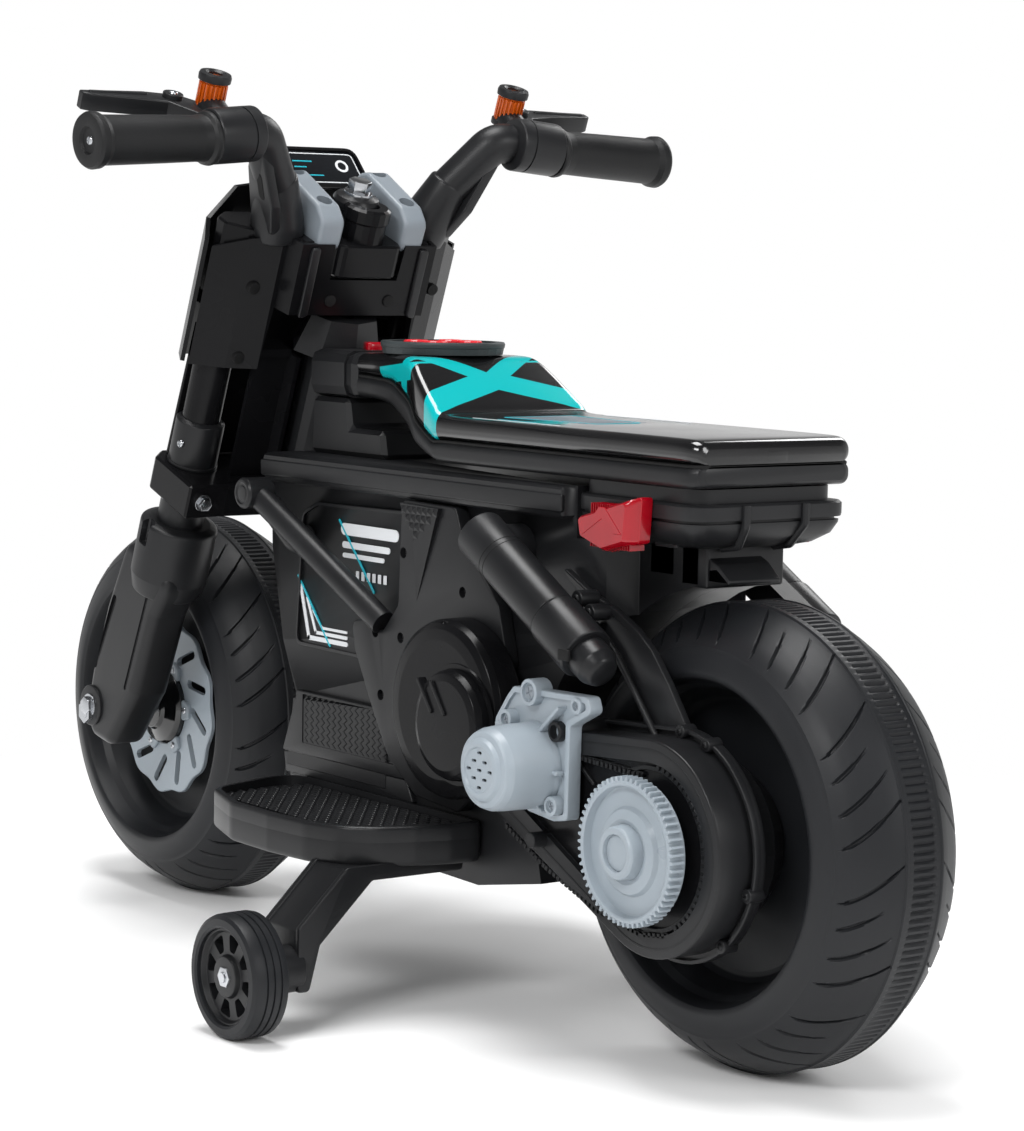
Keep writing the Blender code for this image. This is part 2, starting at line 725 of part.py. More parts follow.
def build_shroud():
    """Rear panel: set-back middle with the stem's notch above and the head's room below, and raised wings."""
    columns = [
        (SHROUD_BACK, NOTCH_Y - SHELL / 2, MIDDLE_LOW_S, NOTCH_S),
        (SHROUD_BACK, NOTCH_Y, MIDDLE_LOW_S, SHOULDER_S),
        (SHROUD_BACK, STEP_Y - SHELL, MIDDLE_LOW_S, SHOULDER_S),
        (SHROUD_WING, STEP_Y, MIDDLE_LOW_S, SHOULDER_S),
        (SHROUD_WING + GAP, STEP_Y + SHELL, WING_LOW_S, SHOULDER_S),
        (SHROUD_WING + 0.4 * (SHROUD_EDGE - SHROUD_WING), 0.8 * SHROUD_OUT_Y, WING_LOW_S - SHELL, SHOULDER_S - 2 * SHELL),
        (SHROUD_EDGE, SHROUD_OUT_Y, WING_LOW_S - 2 * SHELL, CORNER_S),
    ]
    right = [(ahead, -left, low, high) for ahead, left, low, high in reversed(columns)]
    shroud = add("rear_shroud", sheet(right + columns, 2, SHELL, -1.0), GLOSS, STEERING)
    low = LOWER_CLAMP_S + LOWER_CLAMP_TALL + GAP
    wall = CHANNEL_Y + SHELL
    join(shroud, block((CHANNEL_FRONT - SHELL, -wall, low), (CHANNEL_FRONT, wall, SHELF_S)))
    for side in (1, -1):
        rib = sorted((side * CHANNEL_Y, side * wall))
        join(shroud, block((CHANNEL_BACK, rib[0], low), (CHANNEL_FRONT, rib[1], SHELF_S)))
        flange = sorted((side * (wall - GAP), side * CHANNEL_OUT_Y))
        join(shroud, block((CHANNEL_MID, flange[0], low), (CHANNEL_MID + SHELL, flange[1], SHELF_S)))
        shelf = sorted((side * (wall - GAP), side * (STEP_Y + 2 * SHELL)))
        join(shroud, block((CHANNEL_MID - SHELL, shelf[0], SHELF_S - SHELL), (SHROUD_EDGE, shelf[1], SHELF_S + SHELL)))


def build_cowl():
    """Front cowl round the headlight, from wing to wing."""
    columns = [
        (COWL_FRONT, 0.30 * SHROUD_OUT_Y, WING_LOW_S - 6 * SHELL, SHOULDER_S + 4 * SHELL),
        (0.95 * COWL_FRONT, 0.60 * SHROUD_OUT_Y, WING_LOW_S - 6 * SHELL, SHOULDER_S + 3 * SHELL),
        (0.74 * COWL_FRONT, 0.88 * SHROUD_OUT_Y, WING_LOW_S - 4 * SHELL, CORNER_S + 3 * SHELL),
        (SHROUD_EDGE + 2 * SHELL, SHROUD_OUT_Y + SHELL, WING_LOW_S - 2 * SHELL, CORNER_S + SHELL),
    ]
    right = [(ahead, -left, low, high) for ahead, left, low, high in reversed(columns)]
    cowl = add("front_cowl", sheet(right + columns, 2, SHELL, 1.0), GLOSS, STEERING)
    for side in (1, -1):
        reach = (LEG_AHEAD + STANCHION_R + GAP, 0.76 * COWL_FRONT)
        low, high = sorted((side * (LEG_Y - SHELL), side * (LEG_Y + SHELL)))
        join(cowl, block((reach[0], low, COWL_LUG_S), (reach[1], high, COWL_LUG_S + 3 * SHELL)))
    bezel = (COWL_FRONT - SHELL, 0.0, LAMP_S)
    join(cowl, rod(bezel, (COWL_FRONT + LAMP_OUT, 0.0, LAMP_S), LAMP_R + 2 * SHELL, 24))
    cut(cowl, rod((COWL_FRONT + SHELL, 0.0, LAMP_S), (COWL_FRONT + 2 * LAMP_OUT, 0.0, LAMP_S), LAMP_R + GAP, 24))
    start = COWL_FRONT + SHELL + GAP
    lens = [(0.0, LAMP_OUT + SHELL), (0.6 * LAMP_R, LAMP_OUT + 0.7 * SHELL), (LAMP_R, LAMP_OUT), (LAMP_R, 0.0), (0.0, 0.0)]
    add("headlight", turned(lens, 24, (start, 0.0, LAMP_S), axis="X"), CLEAR, STEERING)


def build_display():
    """Instrument panel that faces the rider, on a foot that stands on the upper clamp."""
    tilt = math.radians(DISPLAY_TILT)
    face = Vector((-math.sin(tilt), math.cos(tilt)))
    along = Vector((math.cos(tilt), math.sin(tilt)))
    low = Vector((DISPLAY_AHEAD, DISPLAY_S))
    high = low + along * DISPLAY_LONG
    outline = [low, high, high - face * DISPLAY_THICK, low - face * DISPLAY_THICK]
    mesh = extrusion([tuple(point) for point in outline], -DISPLAY_HALF_W, DISPLAY_HALF_W)
    panel = add("display", bevelled(mesh, 0.0025), GLOSS, STEERING)
    middle = (low + high) / 2 - face * 0.6 * DISPLAY_THICK
    stand = UPPER_CLAMP_TOP + GAP
    foot = [(LEG_AHEAD, stand), (LEG_AHEAD + STANCHION_R, stand)]
    foot += [tuple(middle + along * 0.2 * DISPLAY_LONG), tuple(middle - along * 0.3 * DISPLAY_LONG)]
    join(panel, extrusion(foot, -0.34 * DISPLAY_HALF_W, 0.34 * DISPLAY_HALF_W))


def square_bar(path, half):
    """A square bar along a path across the bike, mitred at its bends."""
    points = [Vector(point) for point in path]
    rings = []
    for i, point in enumerate(points):
        back = (point - points[max(i - 1, 0)]).normalized()
        on = (points[min(i + 1, len(points) - 1)] - point).normalized()
        tangent = (back + on).normalized()
        wide = Vector((1.0, 0.0, 0.0))
        tall = tangent.cross(wide).normalized() * half / max(0.5, tangent.dot(on if i < len(points) - 1 else back))
        wide = tall.cross(tangent).normalized() * half
        rings.append([tuple(point + wide * u + tall * v) for u, v in ((1, 1), (-1, 1), (-1, -1), (1, -1))])
    return loft(rings)


def build_bars():
    """Handlebars: square risers that bend outwards into a round core under the grip."""
    foot = UPPER_CLAMP_TOP + GAP
    path = [
        (BAR_AHEAD, BAR_FOOT_Y, foot),
        (BAR_AHEAD, BAR_FOOT_Y, foot + BAR_HALF),
        (BAR_AHEAD * 0.5, BAR_ELBOW_Y - BAR_HALF * 0.9, GRIP_S - BAR_HALF * 0.9),
        (0.0, BAR_ELBOW_Y, GRIP_S),
        (0.0, PERCH_START_Y - GAP, GRIP_S),
    ]
    bar = add("handlebar_left", bevelled(square_bar(path, BAR_HALF), 0.003), SATIN, STEERING)
    join(bar, rod((0.0, BAR_ELBOW_Y, GRIP_S), (0.0, GRIP_END_Y - GRIP_CAP, GRIP_S), CORE_R, 14))
    mirror(bar)


def ellipse(y, wide, tall, count=14):
    """A ring across the bar's axis."""
    turns = [2 * math.pi * i / count for i in range(count)]
    return [(wide * math.cos(a), y, GRIP_S + tall * math.sin(a)) for a in turns]


def build_grips():
    """Oval grips with a flange at each end."""
    wide, tall = GRIP_DEEP / 2, GRIP_TALL / 2
    length = GRIP_END_Y - GRIP_START_Y
    stations = [
        (0.0, FLANGE_GROW * 0.5),
        (0.03, FLANGE_GROW),
        (0.08, FLANGE_GROW),
        (0.15, 0.2 * FLANGE_GROW),
        (0.24, 0.0),
        (0.88, 0.0),
        (0.92, FLANGE_GROW * 0.9),
        (0.98, FLANGE_GROW),
        (1.0, 0.4 * FLANGE_GROW),
    ]
    rings = [ellipse(GRIP_START_Y + share * length, wide + grow, tall + grow) for share, grow in stations]
    grip = add("grip_left", loft(rings), RUBBER, STEERING)
    cut(grip, rod((0, GRIP_START_Y - GRIP_CAP, GRIP_S), (0, GRIP_END_Y - GRIP_CAP + GAP, GRIP_S), CORE_R + GAP, 14))
    mirror(grip)


def build_perches():
    """Collars beside the grips, each with a moulded brake lever and the signal's seat."""
    end = GRIP_START_Y - GAP
    wide, tall = GRIP_DEEP / 2 + PERCH_GROW, GRIP_TALL / 2 + PERCH_GROW / 2
    rings = [ellipse(y, wide, tall) for y in (PERCH_START_Y, end)]
    perch = add("lever_perch_left", bevelled(loft(rings), 0.0015), SATIN, STEERING)
    seat_top = GRIP_S + SIGNAL_SEAT
    shelf = block((0.0, SIGNAL_Y - SIGNAL_R, seat_top - 2.2 * PERCH_TALL), (LEVER_AHEAD, SIGNAL_Y + SIGNAL_R * 1.2, seat_top))
    join(perch, bevelled(shelf, 0.002))
    lever = [
        (LEVER_AHEAD - 2 * LEVER_WIDE, SIGNAL_Y),
        (LEVER_AHEAD, SIGNAL_Y - SIGNAL_R / 2),
        (LEVER_AHEAD + LEVER_WIDE / 2, SIGNAL_Y + 2 * SIGNAL_R),
        (LEVER_TIP_AHEAD + LEVER_WIDE / 3, LEVER_TIP_Y),
        (LEVER_TIP_AHEAD - LEVER_WIDE / 2, LEVER_TIP_Y),
        (LEVER_AHEAD - LEVER_WIDE / 3, SIGNAL_Y + 2 * SIGNAL_R),
    ]
    low = seat_top - 1.8 * PERCH_TALL
    join(perch, bevelled(extrusion(rounded(lever, LEVER_WIDE / 3), low, low + PERCH_TALL, "XYZ"), 0.001))
    cut(perch, rod((0, BAR_ELBOW_Y, GRIP_S), (0, GRIP_END_Y, GRIP_S), CORE_R + GAP, 14))
    mirror(perch)
    foot = seat_top + GAP
    neck = foot + 0.68 * SIGNAL_TALL
    profile = [(0.0, foot + SIGNAL_TALL), (SIGNAL_R * 0.85, foot + SIGNAL_TALL), (SIGNAL_R, foot + SIGNAL_TALL * 0.94)]
    profile += [(SIGNAL_R, neck + SHELL / 2), (SIGNAL_R * 0.9, neck), (SIGNAL_R * 0.9, foot), (0.0, foot)]
    signal = add("turn_signal_left", turned(profile, 14, (SIGNAL_AHEAD, SIGNAL_Y, 0.0), axis="Z"), AMBER, STEERING)
    mirror(signal)


# Body
def build_body():
    """The two halves of the frame shell, with the wheel arch, the rear deck and the battery's pocket."""
    room = WHEEL_R + WHEEL_ROOM
    arch_start = math.degrees(math.asin(ARCH_LOW / room))
    outline = [
        front(-0.1853, TANK_TOP),
        front(-0.1783, TANK_TOP - 0.013),
        front(-0.1803, TANK_TOP - 0.065),
        front(-0.1953, 0.072),
        front(-0.2123, 0.038),
        front(-0.2033, -0.016),
        front(-0.2183, -0.038),
        mid(0.040, BELLY + 0.004),
        mid(-0.110, BELLY),
    ]
    outline += arc(rear(0.0, 0.0), room, arch_start, ARCH_END, 14)
    outline += [
        rear(-0.026, DECK_TOP - 0.012),
        rear(0.018, DECK_TOP),
        rear(TAIL_FRONT + GAP, DECK_TOP),
        rear(TAIL_FRONT + GAP, TANK_TOP),
    ]
    half = add("body_left", extrusion(outline, GAP / 2, BODY_HALF_W), SATIN)
    rail = [
        front(-0.1813, TANK_TOP - GAP),
        front(-0.1768, TANK_TOP - 0.6 * RAIL_TALL),
        front(-0.1840, TANK_TOP - RAIL_TALL),
        rear(TAIL_FRONT + SHELL, TANK_TOP - RAIL_TALL),
        rear(TAIL_FRONT + SHELL, TANK_TOP - GAP),
    ]
    join(half, bevelled(extrusion(rail, BODY_HALF_W - RAIL_OUT / 2, BODY_HALF_W + RAIL_OUT), 0.002))
    engine = [mid(-0.012, 0.041), front(-0.2143, 0.036), front(-0.2063, -0.014), mid(-0.012, -0.014)]
    join(half, bevelled(extrusion(engine, BODY_HALF_W - RAIL_OUT / 2, BODY_HALF_W + RAIL_OUT / 2), 0.002))
    pocket = [side / 2 + GAP for side in BATTERY]
    floor = AXLE_Z + BATTERY_LOW
    cut(half, block((-pocket[0], -pocket[1], floor), (pocket[0], pocket[1], floor + 2 * pocket[2])))
    mirror(half)
    low = Vector((-BATTERY[0] / 2, -BATTERY[1] / 2, floor + GAP))
    add("battery", bevelled(block(low, low + Vector(BATTERY)), 0.002), DARK_GREY)


def steer_to_world(mesh):
    """Move a shape drawn in the steering frame to the chassis."""
    mesh.transform(STEER)
    return mesh


def build_head():
    """Steering head: the block on the tank, the web, the head tube and its faceted cap."""
    base = TANK_TOP + GAP
    blocky = [
        front(-0.1973, base),
        front(-0.1993, KNOB_LOW - GAP),
        front(-0.2423, KNOB_LOW - GAP),
        front(-0.2463, KNOB_LOW - 0.020),
        front(-0.2843, KNOB_LOW - 0.020),
        front(-0.2883, base),
    ]
    head = add("steering_head", bevelled(extrusion(blocky, -HEAD_BLOCK_Y, HEAD_BLOCK_Y), 0.003), SATIN)
    low = LOWER_CLAMP_S + LOWER_CLAMP_TALL + GAP
    web = [
        (-2 * HEAD_R, HEAD_WEB_S),
        (-1.5 * HEAD_R, HEAD_WEB_S),
        (-1.4 * HEAD_R, low + SHELL),
        (0.0, low + SHELL),
        (0.0, HEAD_CAP_S),
        (-1.3 * HEAD_R, HEAD_CAP_S),
        (-1.7 * HEAD_R, HEAD_CAP_S - 1.2 * HEAD_R),
        (-2 * HEAD_R, HEAD_CAP_S - 1.45 * HEAD_R),
    ]
    join(head, steer_to_world(extrusion(web, -0.4 * HEAD_R, 0.4 * HEAD_R)))
    join(head, steer_to_world(rod((0, 0, low), (0, 0, HEAD_CAP_S), HEAD_R, 20)))
    cap = rod((0, 0, HEAD_CAP_S - GAP), (0, 0, HEAD_TOP_S), HEAD_R * 1.15, 8)
    work = bmesh.new()
    work.from_mesh(cap)
    for vert in work.verts:
        taper = 0.75 if vert.co.z > HEAD_CAP_S + GAP else 1.0
        vert.co.x *= taper
        vert.co.y *= taper * HEAD_CAP_WIDE
    work.to_mesh(cap)
    work.free()
    join(head, steer_to_world(cap))
    cut(head, steer_to_world(rod((0, 0, low - STEM_R), (0, 0, HEAD_TOP_S + STEM_R), STEM_R + RUNNING, 16)))


def build_side_covers():
    """Y-shaped covers over the engine, each with the frame strut that ends in it."""
    outline = [
        mid(-0.030, 0.1795),
        mid(-0.092, 0.1795),
        mid(-0.101, 0.160),
        mid(-0.140, 0.122),
        mid(-0.150, 0.088),
        mid(-0.128, 0.010),
        mid(-0.100, -0.014),
        mid(-0.052, -0.010),
        mid(-0.032, 0.012),
        mid(-0.012, 0.043),
        mid(0.004, 0.073),
        mid(0.025, 0.100),
        mid(-0.006, 0.094),
        mid(-0.030, 0.112),
    ]
    inner = BODY_HALF_W + GAP
    cover = add("side_cover_left", bevelled(extrusion(outline, inner, COVER_Y), 0.0015), SATIN)
    knob = front(-0.2063, 0.175)
    foot = front(-0.2263, 0.142)
    strut_y = COVER_Y + STRUT_OUT
    tube = [(knob[0], strut_y, knob[1]), (-0.022, COVER_Y, AXLE_Z + 0.099)]
    join(cover, pipe(tube, STRUT_R, 2))
    join(cover, rod((knob[0], strut_y - 1.1 * STRUT_R, knob[1]), (knob[0], strut_y + 1.1 * STRUT_R, knob[1]), 1.25 * STRUT_R, 16))
    join(cover, pipe([(knob[0], strut_y, knob[1]), (foot[0], inner + 1.2 * STRUT_R, foot[1])], STRUT_R, 2))
    join(cover, rod((foot[0], inner, foot[1]), (foot[0], inner + 1.2 * STRUT_R, foot[1]), 1.35 * STRUT_R, 16))
    mirror(cover)


def build_round_covers():
    """Gloss covers: a large disc, and a smaller one that stands out from it."""
    seat = COVER_Y + GAP
    big = (*mid(-0.100, 0.045), ROUND_COVER_R)
    small = (*mid(-0.140, 0.030), DISC_COVER_R)
    profile = [(0.0, ROUND_COVER_Y), (big[2] - 2 * SHELL, ROUND_COVER_Y), (big[2], ROUND_COVER_Y - SHELL), (big[2], seat), (0.0, seat)]
    profile = [(radius, along) for radius, along in profile]
    cover = add("round_cover_left", turned(profile, 30, (big[0], 0.0, big[1])), GLOSS)
    low = BELT_FACE_Y + GAP
    disc = [(0.0, DISC_COVER_Y), (small[2] - 2 * SHELL, DISC_COVER_Y), (small[2], DISC_COVER_Y - SHELL), (small[2], low), (0.0, low)]
    join(cover, turned(disc, 26, (small[0], 0.0, small[1])))
    mirror(cover)


# Seat
def seat_ring(x, half, low, high, corner=0.0055):
    """A cross-section of the seat, with round edges."""
    radius = min(corner, (high - low) / 2.2)
    spots = [
        ((-half + radius, low + radius), 180, 270),
        ((half - radius, low + radius), 270, 360),
        ((half - radius, high - radius), 0, 90),
        ((-half + radius, high - radius), 90, 180),
    ]
    ring = []
    for centre, start, end in spots:
        ring += [(x, y, z) for y, z in arc(centre, radius, start, end, 2)]
    return ring


def seat_stations():
    """(x, half width, lower shell's bottom, seam, top) from the neck to the tail."""
    neck_x = FRONT_X + NECK_END
    rear_x = REAR_X - SEAT_OVERHANG
    flat, seam, bottom = (AXLE_Z + level for level in (SEAT_FLAT, SEAT_SEAM, SEAT_BOTTOM))
    top = AXLE_Z + NECK_TOP
    return [
        (neck_x, NECK_HALF_W, AXLE_Z + KNOB_LOW + 0.002, top - 0.016, top - 0.001),
        (neck_x - 0.024, NECK_HALF_W + 0.002, AXLE_Z + KNOB_LOW + 0.001, top - 0.017, top),
        (neck_x - 0.048, NECK_HALF_W + 0.006, AXLE_Z + KNOB_LOW - 0.002, top - 0.019, top),
        (neck_x - 0.080, SEAT_HALF_W - 0.010, seam + 0.006, seam + 0.022, top - 0.001),
        (neck_x - 0.096, SEAT_HALF_W - 0.005, seam - 0.004, seam + 0.010, top - 0.014),
        (neck_x - 0.120, SEAT_HALF_W, bottom + 0.002, seam, flat + 0.002),
        (neck_x - 0.134, SEAT_HALF_W, bottom, seam, flat),
        (rear_x + 0.030, SEAT_HALF_W, bottom, seam, flat),
        (rear_x + 0.006, SEAT_HALF_W - 0.002, bottom, seam, flat - 0.001),
        (rear_x, SEAT_HALF_W - 0.008, bottom + 0.001, seam, flat - 0.004),
    ]


def build_seat():
    """Upper and lower shells of the seat."""
    stations = seat_stations()
    upper = [seat_ring(x, half, seam + GAP, top) for x, half, _, seam, top in stations]
    lower = [seat_ring(x, half + GAP, low, seam, 0.004) for x, half, low, seam, _ in stations]
    add("seat_top", loft(upper), GLOSS)
    add("seat_base", loft(lower), SATIN)


def build_neck_knob():
    """Rounded block ahead of the seat's neck, with the ring that meets it."""
    back = FRONT_X + NECK_END + GAP
    low, high = AXLE_Z + KNOB_LOW, AXLE_Z + NECK_TOP
    knob_back = back + NECK_RING
    rings = [seat_ring(x, half, low, high, 0.008) for x, half in ((knob_back - GAP, NECK_HALF_W), (knob_back + KNOB_LONG, NECK_HALF_W))]
    knob = add("neck_knob", loft(rings), SATIN)
    ring = [seat_ring(x, NECK_HALF_W - shrink, low + shrink, high - shrink, 0.008) for x, shrink in ((back, 0.001), (back + NECK_RING / 2, 0.0004), (knob_back + SHELL, 0.002))]
    join(knob, loft(ring))


def build_pad():
    """Control pad with four sprung buttons."""
    seat = AXLE_Z + NECK_TOP + GAP
    top = seat + PAD_THICK
    x = FRONT_X + NECK_END - PAD_BACK
    profile = [(0.0, top), (PAD_R - 0.003, top), (PAD_R, top - 0.002), (PAD_R - 0.001, seat), (0.0, seat)]
    pad = add("button_pad", turned(profile, 28, (x, 0.0, 0.0), axis="Z"), PAD_GREEN)
    names = {(1, 1): "front_left", (1, -1): "front_right", (-1, 1): "rear_left", (-1, -1): "rear_right"}
    for (ahead, left), name in names.items():
        place = (x + ahead * BUTTON_X, left * BUTTON_Y)
        cut(pad, rod((*place, seat - PAD_THICK), (*place, top + PAD_THICK), BUTTON_R + BUTTON_ROOM, 12))
        pivot = empty_at("button_axis_" + name, Matrix.Translation((*place, top)))
        low = BUTTON_TRAVEL - PAD_THICK + GAP
        face = [(0.0, BUTTON_OUT), (BUTTON_R - 0.001, BUTTON_OUT - 0.0003), (BUTTON_R, BUTTON_OUT - 0.0012), (BUTTON_R, low), (0.0, low)]
        add("button_" + name, turned(face, 12, axis="Z"), RED, pivot)


# Tail
def plan_ring(z, front_x, rear_x, half, corner=0.014):
    """A level outline of the tail, with round corners."""
    corners = [(rear_x, -half), (front_x, -half), (front_x, half), (rear_x, half)]
    return [(x, y, z) for x, y in rounded(corners, corner, 2)]


def build_tail():
    """Two-lipped tail shell under the seat, and its lamps."""
    low, high = AXLE_Z + DECK_TOP + GAP, AXLE_Z + SEAT_BOTTOM - GAP
    nose, end = REAR_X + TAIL_FRONT, REAR_X - SEAT_OVERHANG
    tall = high - low
    levels = [(0.0, 0.010), (0.12, 0.003), (0.44, 0.002), (0.46, 0.005), (0.52, 0.005), (0.54, 0.0), (0.96, 0.0), (1.0, 0.0015)]
    rings = [plan_ring(low + share * tall, nose, end + inset, TAIL_HALF_W - inset) for share, inset in levels]
    add("tail_base", loft(rings), SATIN)
    lamp = [
        rear(0.089, LAMP_MID),
        rear(0.033, LAMP_MID + 0.015),
        rear(0.036, LAMP_MID - 0.013),
        rear(0.062, LAMP_MID - 0.020),
        rear(0.086, LAMP_MID - 0.012),
    ]
    inner = TAIL_HALF_W + GAP
    mesh = bevelled(extrusion(rounded(lamp, 0.003, 1), inner, inner + LAMP_THICK), 0.002)
    mirror(add("tail_lamp_left", mesh, RED_LENS))


def build_shocks():
    """Rear shocks: an elbow from the body, the shaft, a fatter sleeve and a domed end on a pin."""
    top = mid(-0.152, 0.172)
    end = rear(0.040, 0.099)
    root = mid(-0.150, 0.158)
    down = Vector((end[0] - top[0], 0.0, end[1] - top[1]))
    start = Vector((top[0], SHOCK_Y, top[1]))
    sleeve = start + down * 0.50
    last = start + down
    upper = pipe([(root[0], BODY_HALF_W + GAP + SHOCK_R * 0.2, root[1]), tuple(start - Vector((0, SHOCK_R, 0))), tuple(start + down * 0.06), tuple(sleeve)], SHOCK_R, 2)
    shock = add("shock_left", upper, SATIN)
    join(shock, rod(sleeve - down * 0.02, last - down * 0.02, SHOCK_SLEEVE_R, 16))
    dome = rod(last - down * 0.04, last + down * 0.07, SHOCK_R, 14)
    join(shock, bevelled(dome, SHOCK_R * 0.5))
    pin = rear(0.0285, 0.1065)
    join(shock, rod((pin[0], GUARD_OUT_Y + GAP, pin[1]), (pin[0], SHOCK_Y, pin[1]), PIN_R, 12))
    cut(shock, block((root[0] - 0.06, 0.0, root[1] - 0.06), (root[0] + 0.06, BODY_HALF_W + GAP, root[1] + 0.06)))
    mirror(shock)


# Drive
def case_outline(inset=0.0):
    """Teardrop round the rear axle and the pulley's nose."""
    radius = CASE_R - inset
    top, bottom = rear(CASE_NOSE - inset, 0.060 - inset), rear(CASE_NOSE - inset, inset - 0.006)
    return [top] + arc(rear(0.0, 0.0), radius, 88.0, 294.0, 14) + [bottom]


def toothed(outline, pitch, tall):
    """The outline with teeth pointing inwards along it."""
    points = [Vector(point) for point in outline]
    count = len(points)
    middle = sum(points, Vector((0.0, 0.0))) / count
    out = []
    for i, start in enumerate(points):
        side = points[(i + 1) % count] - start
        teeth = max(1, round(side.length / pitch))
        across = Vector((-side.y, side.x)).normalized()
        if across.dot(middle - start) < 0:
            across = -across
        for tooth in range(teeth):
            begin = start + side * (tooth / teeth)
            step = side / teeth
            out += [begin, begin + step * 0.35, begin + step * 0.65 + across * tall]
    return [tuple(point) for point in out]


def build_case():
    """Belt case on the left: flange, raised cover, guard arm up to the body, and the belt's relief."""
    mid_y = CASE_IN_Y + 0.45 * (CASE_FACE_Y - CASE_IN_Y)
    case = add("drive_case", extrusion(case_outline(), CASE_IN_Y, mid_y), SATIN)
    join(case, bevelled(extrusion(case_outline(CASE_INSET), mid_y - GAP, CASE_FACE_Y), 0.004))
    join(case, guard_arm(CASE_IN_Y + GAP))
    belt = case_outline(CASE_INSET + BELT_INSET)
    inner = toothed(case_outline(CASE_INSET + BELT_INSET + BELT_THICK), BELT_PITCH, TOOTH_TALL)
    join(case, extrusion(belt, CASE_FACE_Y - GAP, BELT_FACE_Y))
    cut(case, extrusion(inner, CASE_FACE_Y, BELT_FACE_Y + GAP))
    cut(case, rod((REAR_X, 0.0, AXLE_Z), (REAR_X, 2 * CASE_FACE_Y, AXLE_Z), AXLE_R + GAP, 16))


def guard_arm(low):
    """Bent arm from the case's top to the body."""
    knee = rear(0.022, 0.108)
    lower = extrusion(capsule(rear(-0.014, 0.055), knee, ARM_HALF, 4), low, GUARD_OUT_Y)
    helper = add("guard", lower, SATIN)
    join(helper, extrusion(capsule(knee, rear(0.084, 0.142), ARM_HALF * 0.9, 4), low, GUARD_OUT_Y))
    mesh = evaluated(helper)
    bpy.data.objects.remove(helper)
    return mesh


def build_right_arm():
    """Plain swing arm on the right, with the same guard."""
    low = CASE_IN_Y
    outline = capsule(rear(0.0, 0.0), rear(CASE_NOSE - ARM_ROOT_R, 0.020), ARM_ROOT_R, 7)
    arm = add("swing_arm_right", bevelled(extrusion(outline, low, ARM_OUT_Y - SHELL), 0.002), SATIN)
    join(arm, extrusion(capsule(rear(0.0, 0.0), rear(-0.014, 0.055), 1.3 * ARM_HALF, 4), low + GAP, GUARD_OUT_Y - GAP))
    join(arm, rod((REAR_X, low + GAP, AXLE_Z), (REAR_X, ARM_OUT_Y, AXLE_Z), 0.7 * ARM_ROOT_R, 16))
    join(arm, guard_arm(low + GAP))
    cut(arm, rod((REAR_X, 0.0, AXLE_Z), (REAR_X, 2 * CASE_FACE_Y, AXLE_Z), AXLE_R + GAP, 16))
    mesh = evaluated(arm)
    mesh.transform(Matrix.Scale(-1.0, 4, (0.0, 1.0, 0.0)))
    mesh.flip_normals()
    arm.modifiers.clear()
    arm.data = mesh


def build_gearbox():
    """Reduction gearbox between the case and the wheel, in the wheel's dish."""
    bore = AXLE_R + RUNNING
    face, back = CASE_IN_Y - GAP, DISH_Y + DISH_ROUND
    profile = [(GEARBOX_R, face), (GEARBOX_R, back + 0.4 * (face - back)), (0.82 * GEARBOX_R, back), (bore, back), (bore, face)]
    add("gearbox", turned(profile, 24, (REAR_X, 0.0, AXLE_Z), closed=True), SATIN)


def build_sprocket():
    """Toothed drive wheel with a dished face and a domed hub."""
    inner_y = SPROCKET_Y - SPROCKET_THICK
    tip, root = SPROCKET_R, SPROCKET_R - TOOTH_TALL
    outline = []
    pitch = 360.0 / SPROCKET_TEETH
    for i in range(SPROCKET_TEETH):
        outline += arc(rear(0.0, 0.0), root, i * pitch, (i + 0.3) * pitch, 1)
        outline += arc(rear(0.0, 0.0), tip, (i + 0.65) * pitch, (i + 1.0) * pitch, 1)[:1]
    sprocket = add("sprocket", extrusion(outline, inner_y, SPROCKET_Y), GREY)
    bowl = [(0.0, SPROCKET_Y + GAP), (root - 0.004, SPROCKET_Y + GAP), (root - 0.008, inner_y + 0.45 * SPROCKET_THICK), (0.0, inner_y + 0.45 * SPROCKET_THICK)]
    cut(sprocket, turned(bowl, 24, (REAR_X, 0.0, AXLE_Z)))
    hub = [(0.0, HUB_FACE_Y), (HUB_RING_R, HUB_FACE_Y), (1.55 * HUB_RING_R, SPROCKET_Y), (1.85 * HUB_RING_R, inner_y + 0.3 * SPROCKET_THICK), (0.0, inner_y + 0.3 * SPROCKET_THICK)]
    join(sprocket, turned(hub, 20, (REAR_X, 0.0, AXLE_Z)))
    boss = [(0.62 * root, inner_y + GAP), (0.62 * root, CASE_FACE_Y + GAP), (AXLE_R + GAP, CASE_FACE_Y + GAP), (AXLE_R + GAP, inner_y + GAP)]
    join(sprocket, turned(boss, 20, (REAR_X, 0.0, AXLE_Z), closed=True))


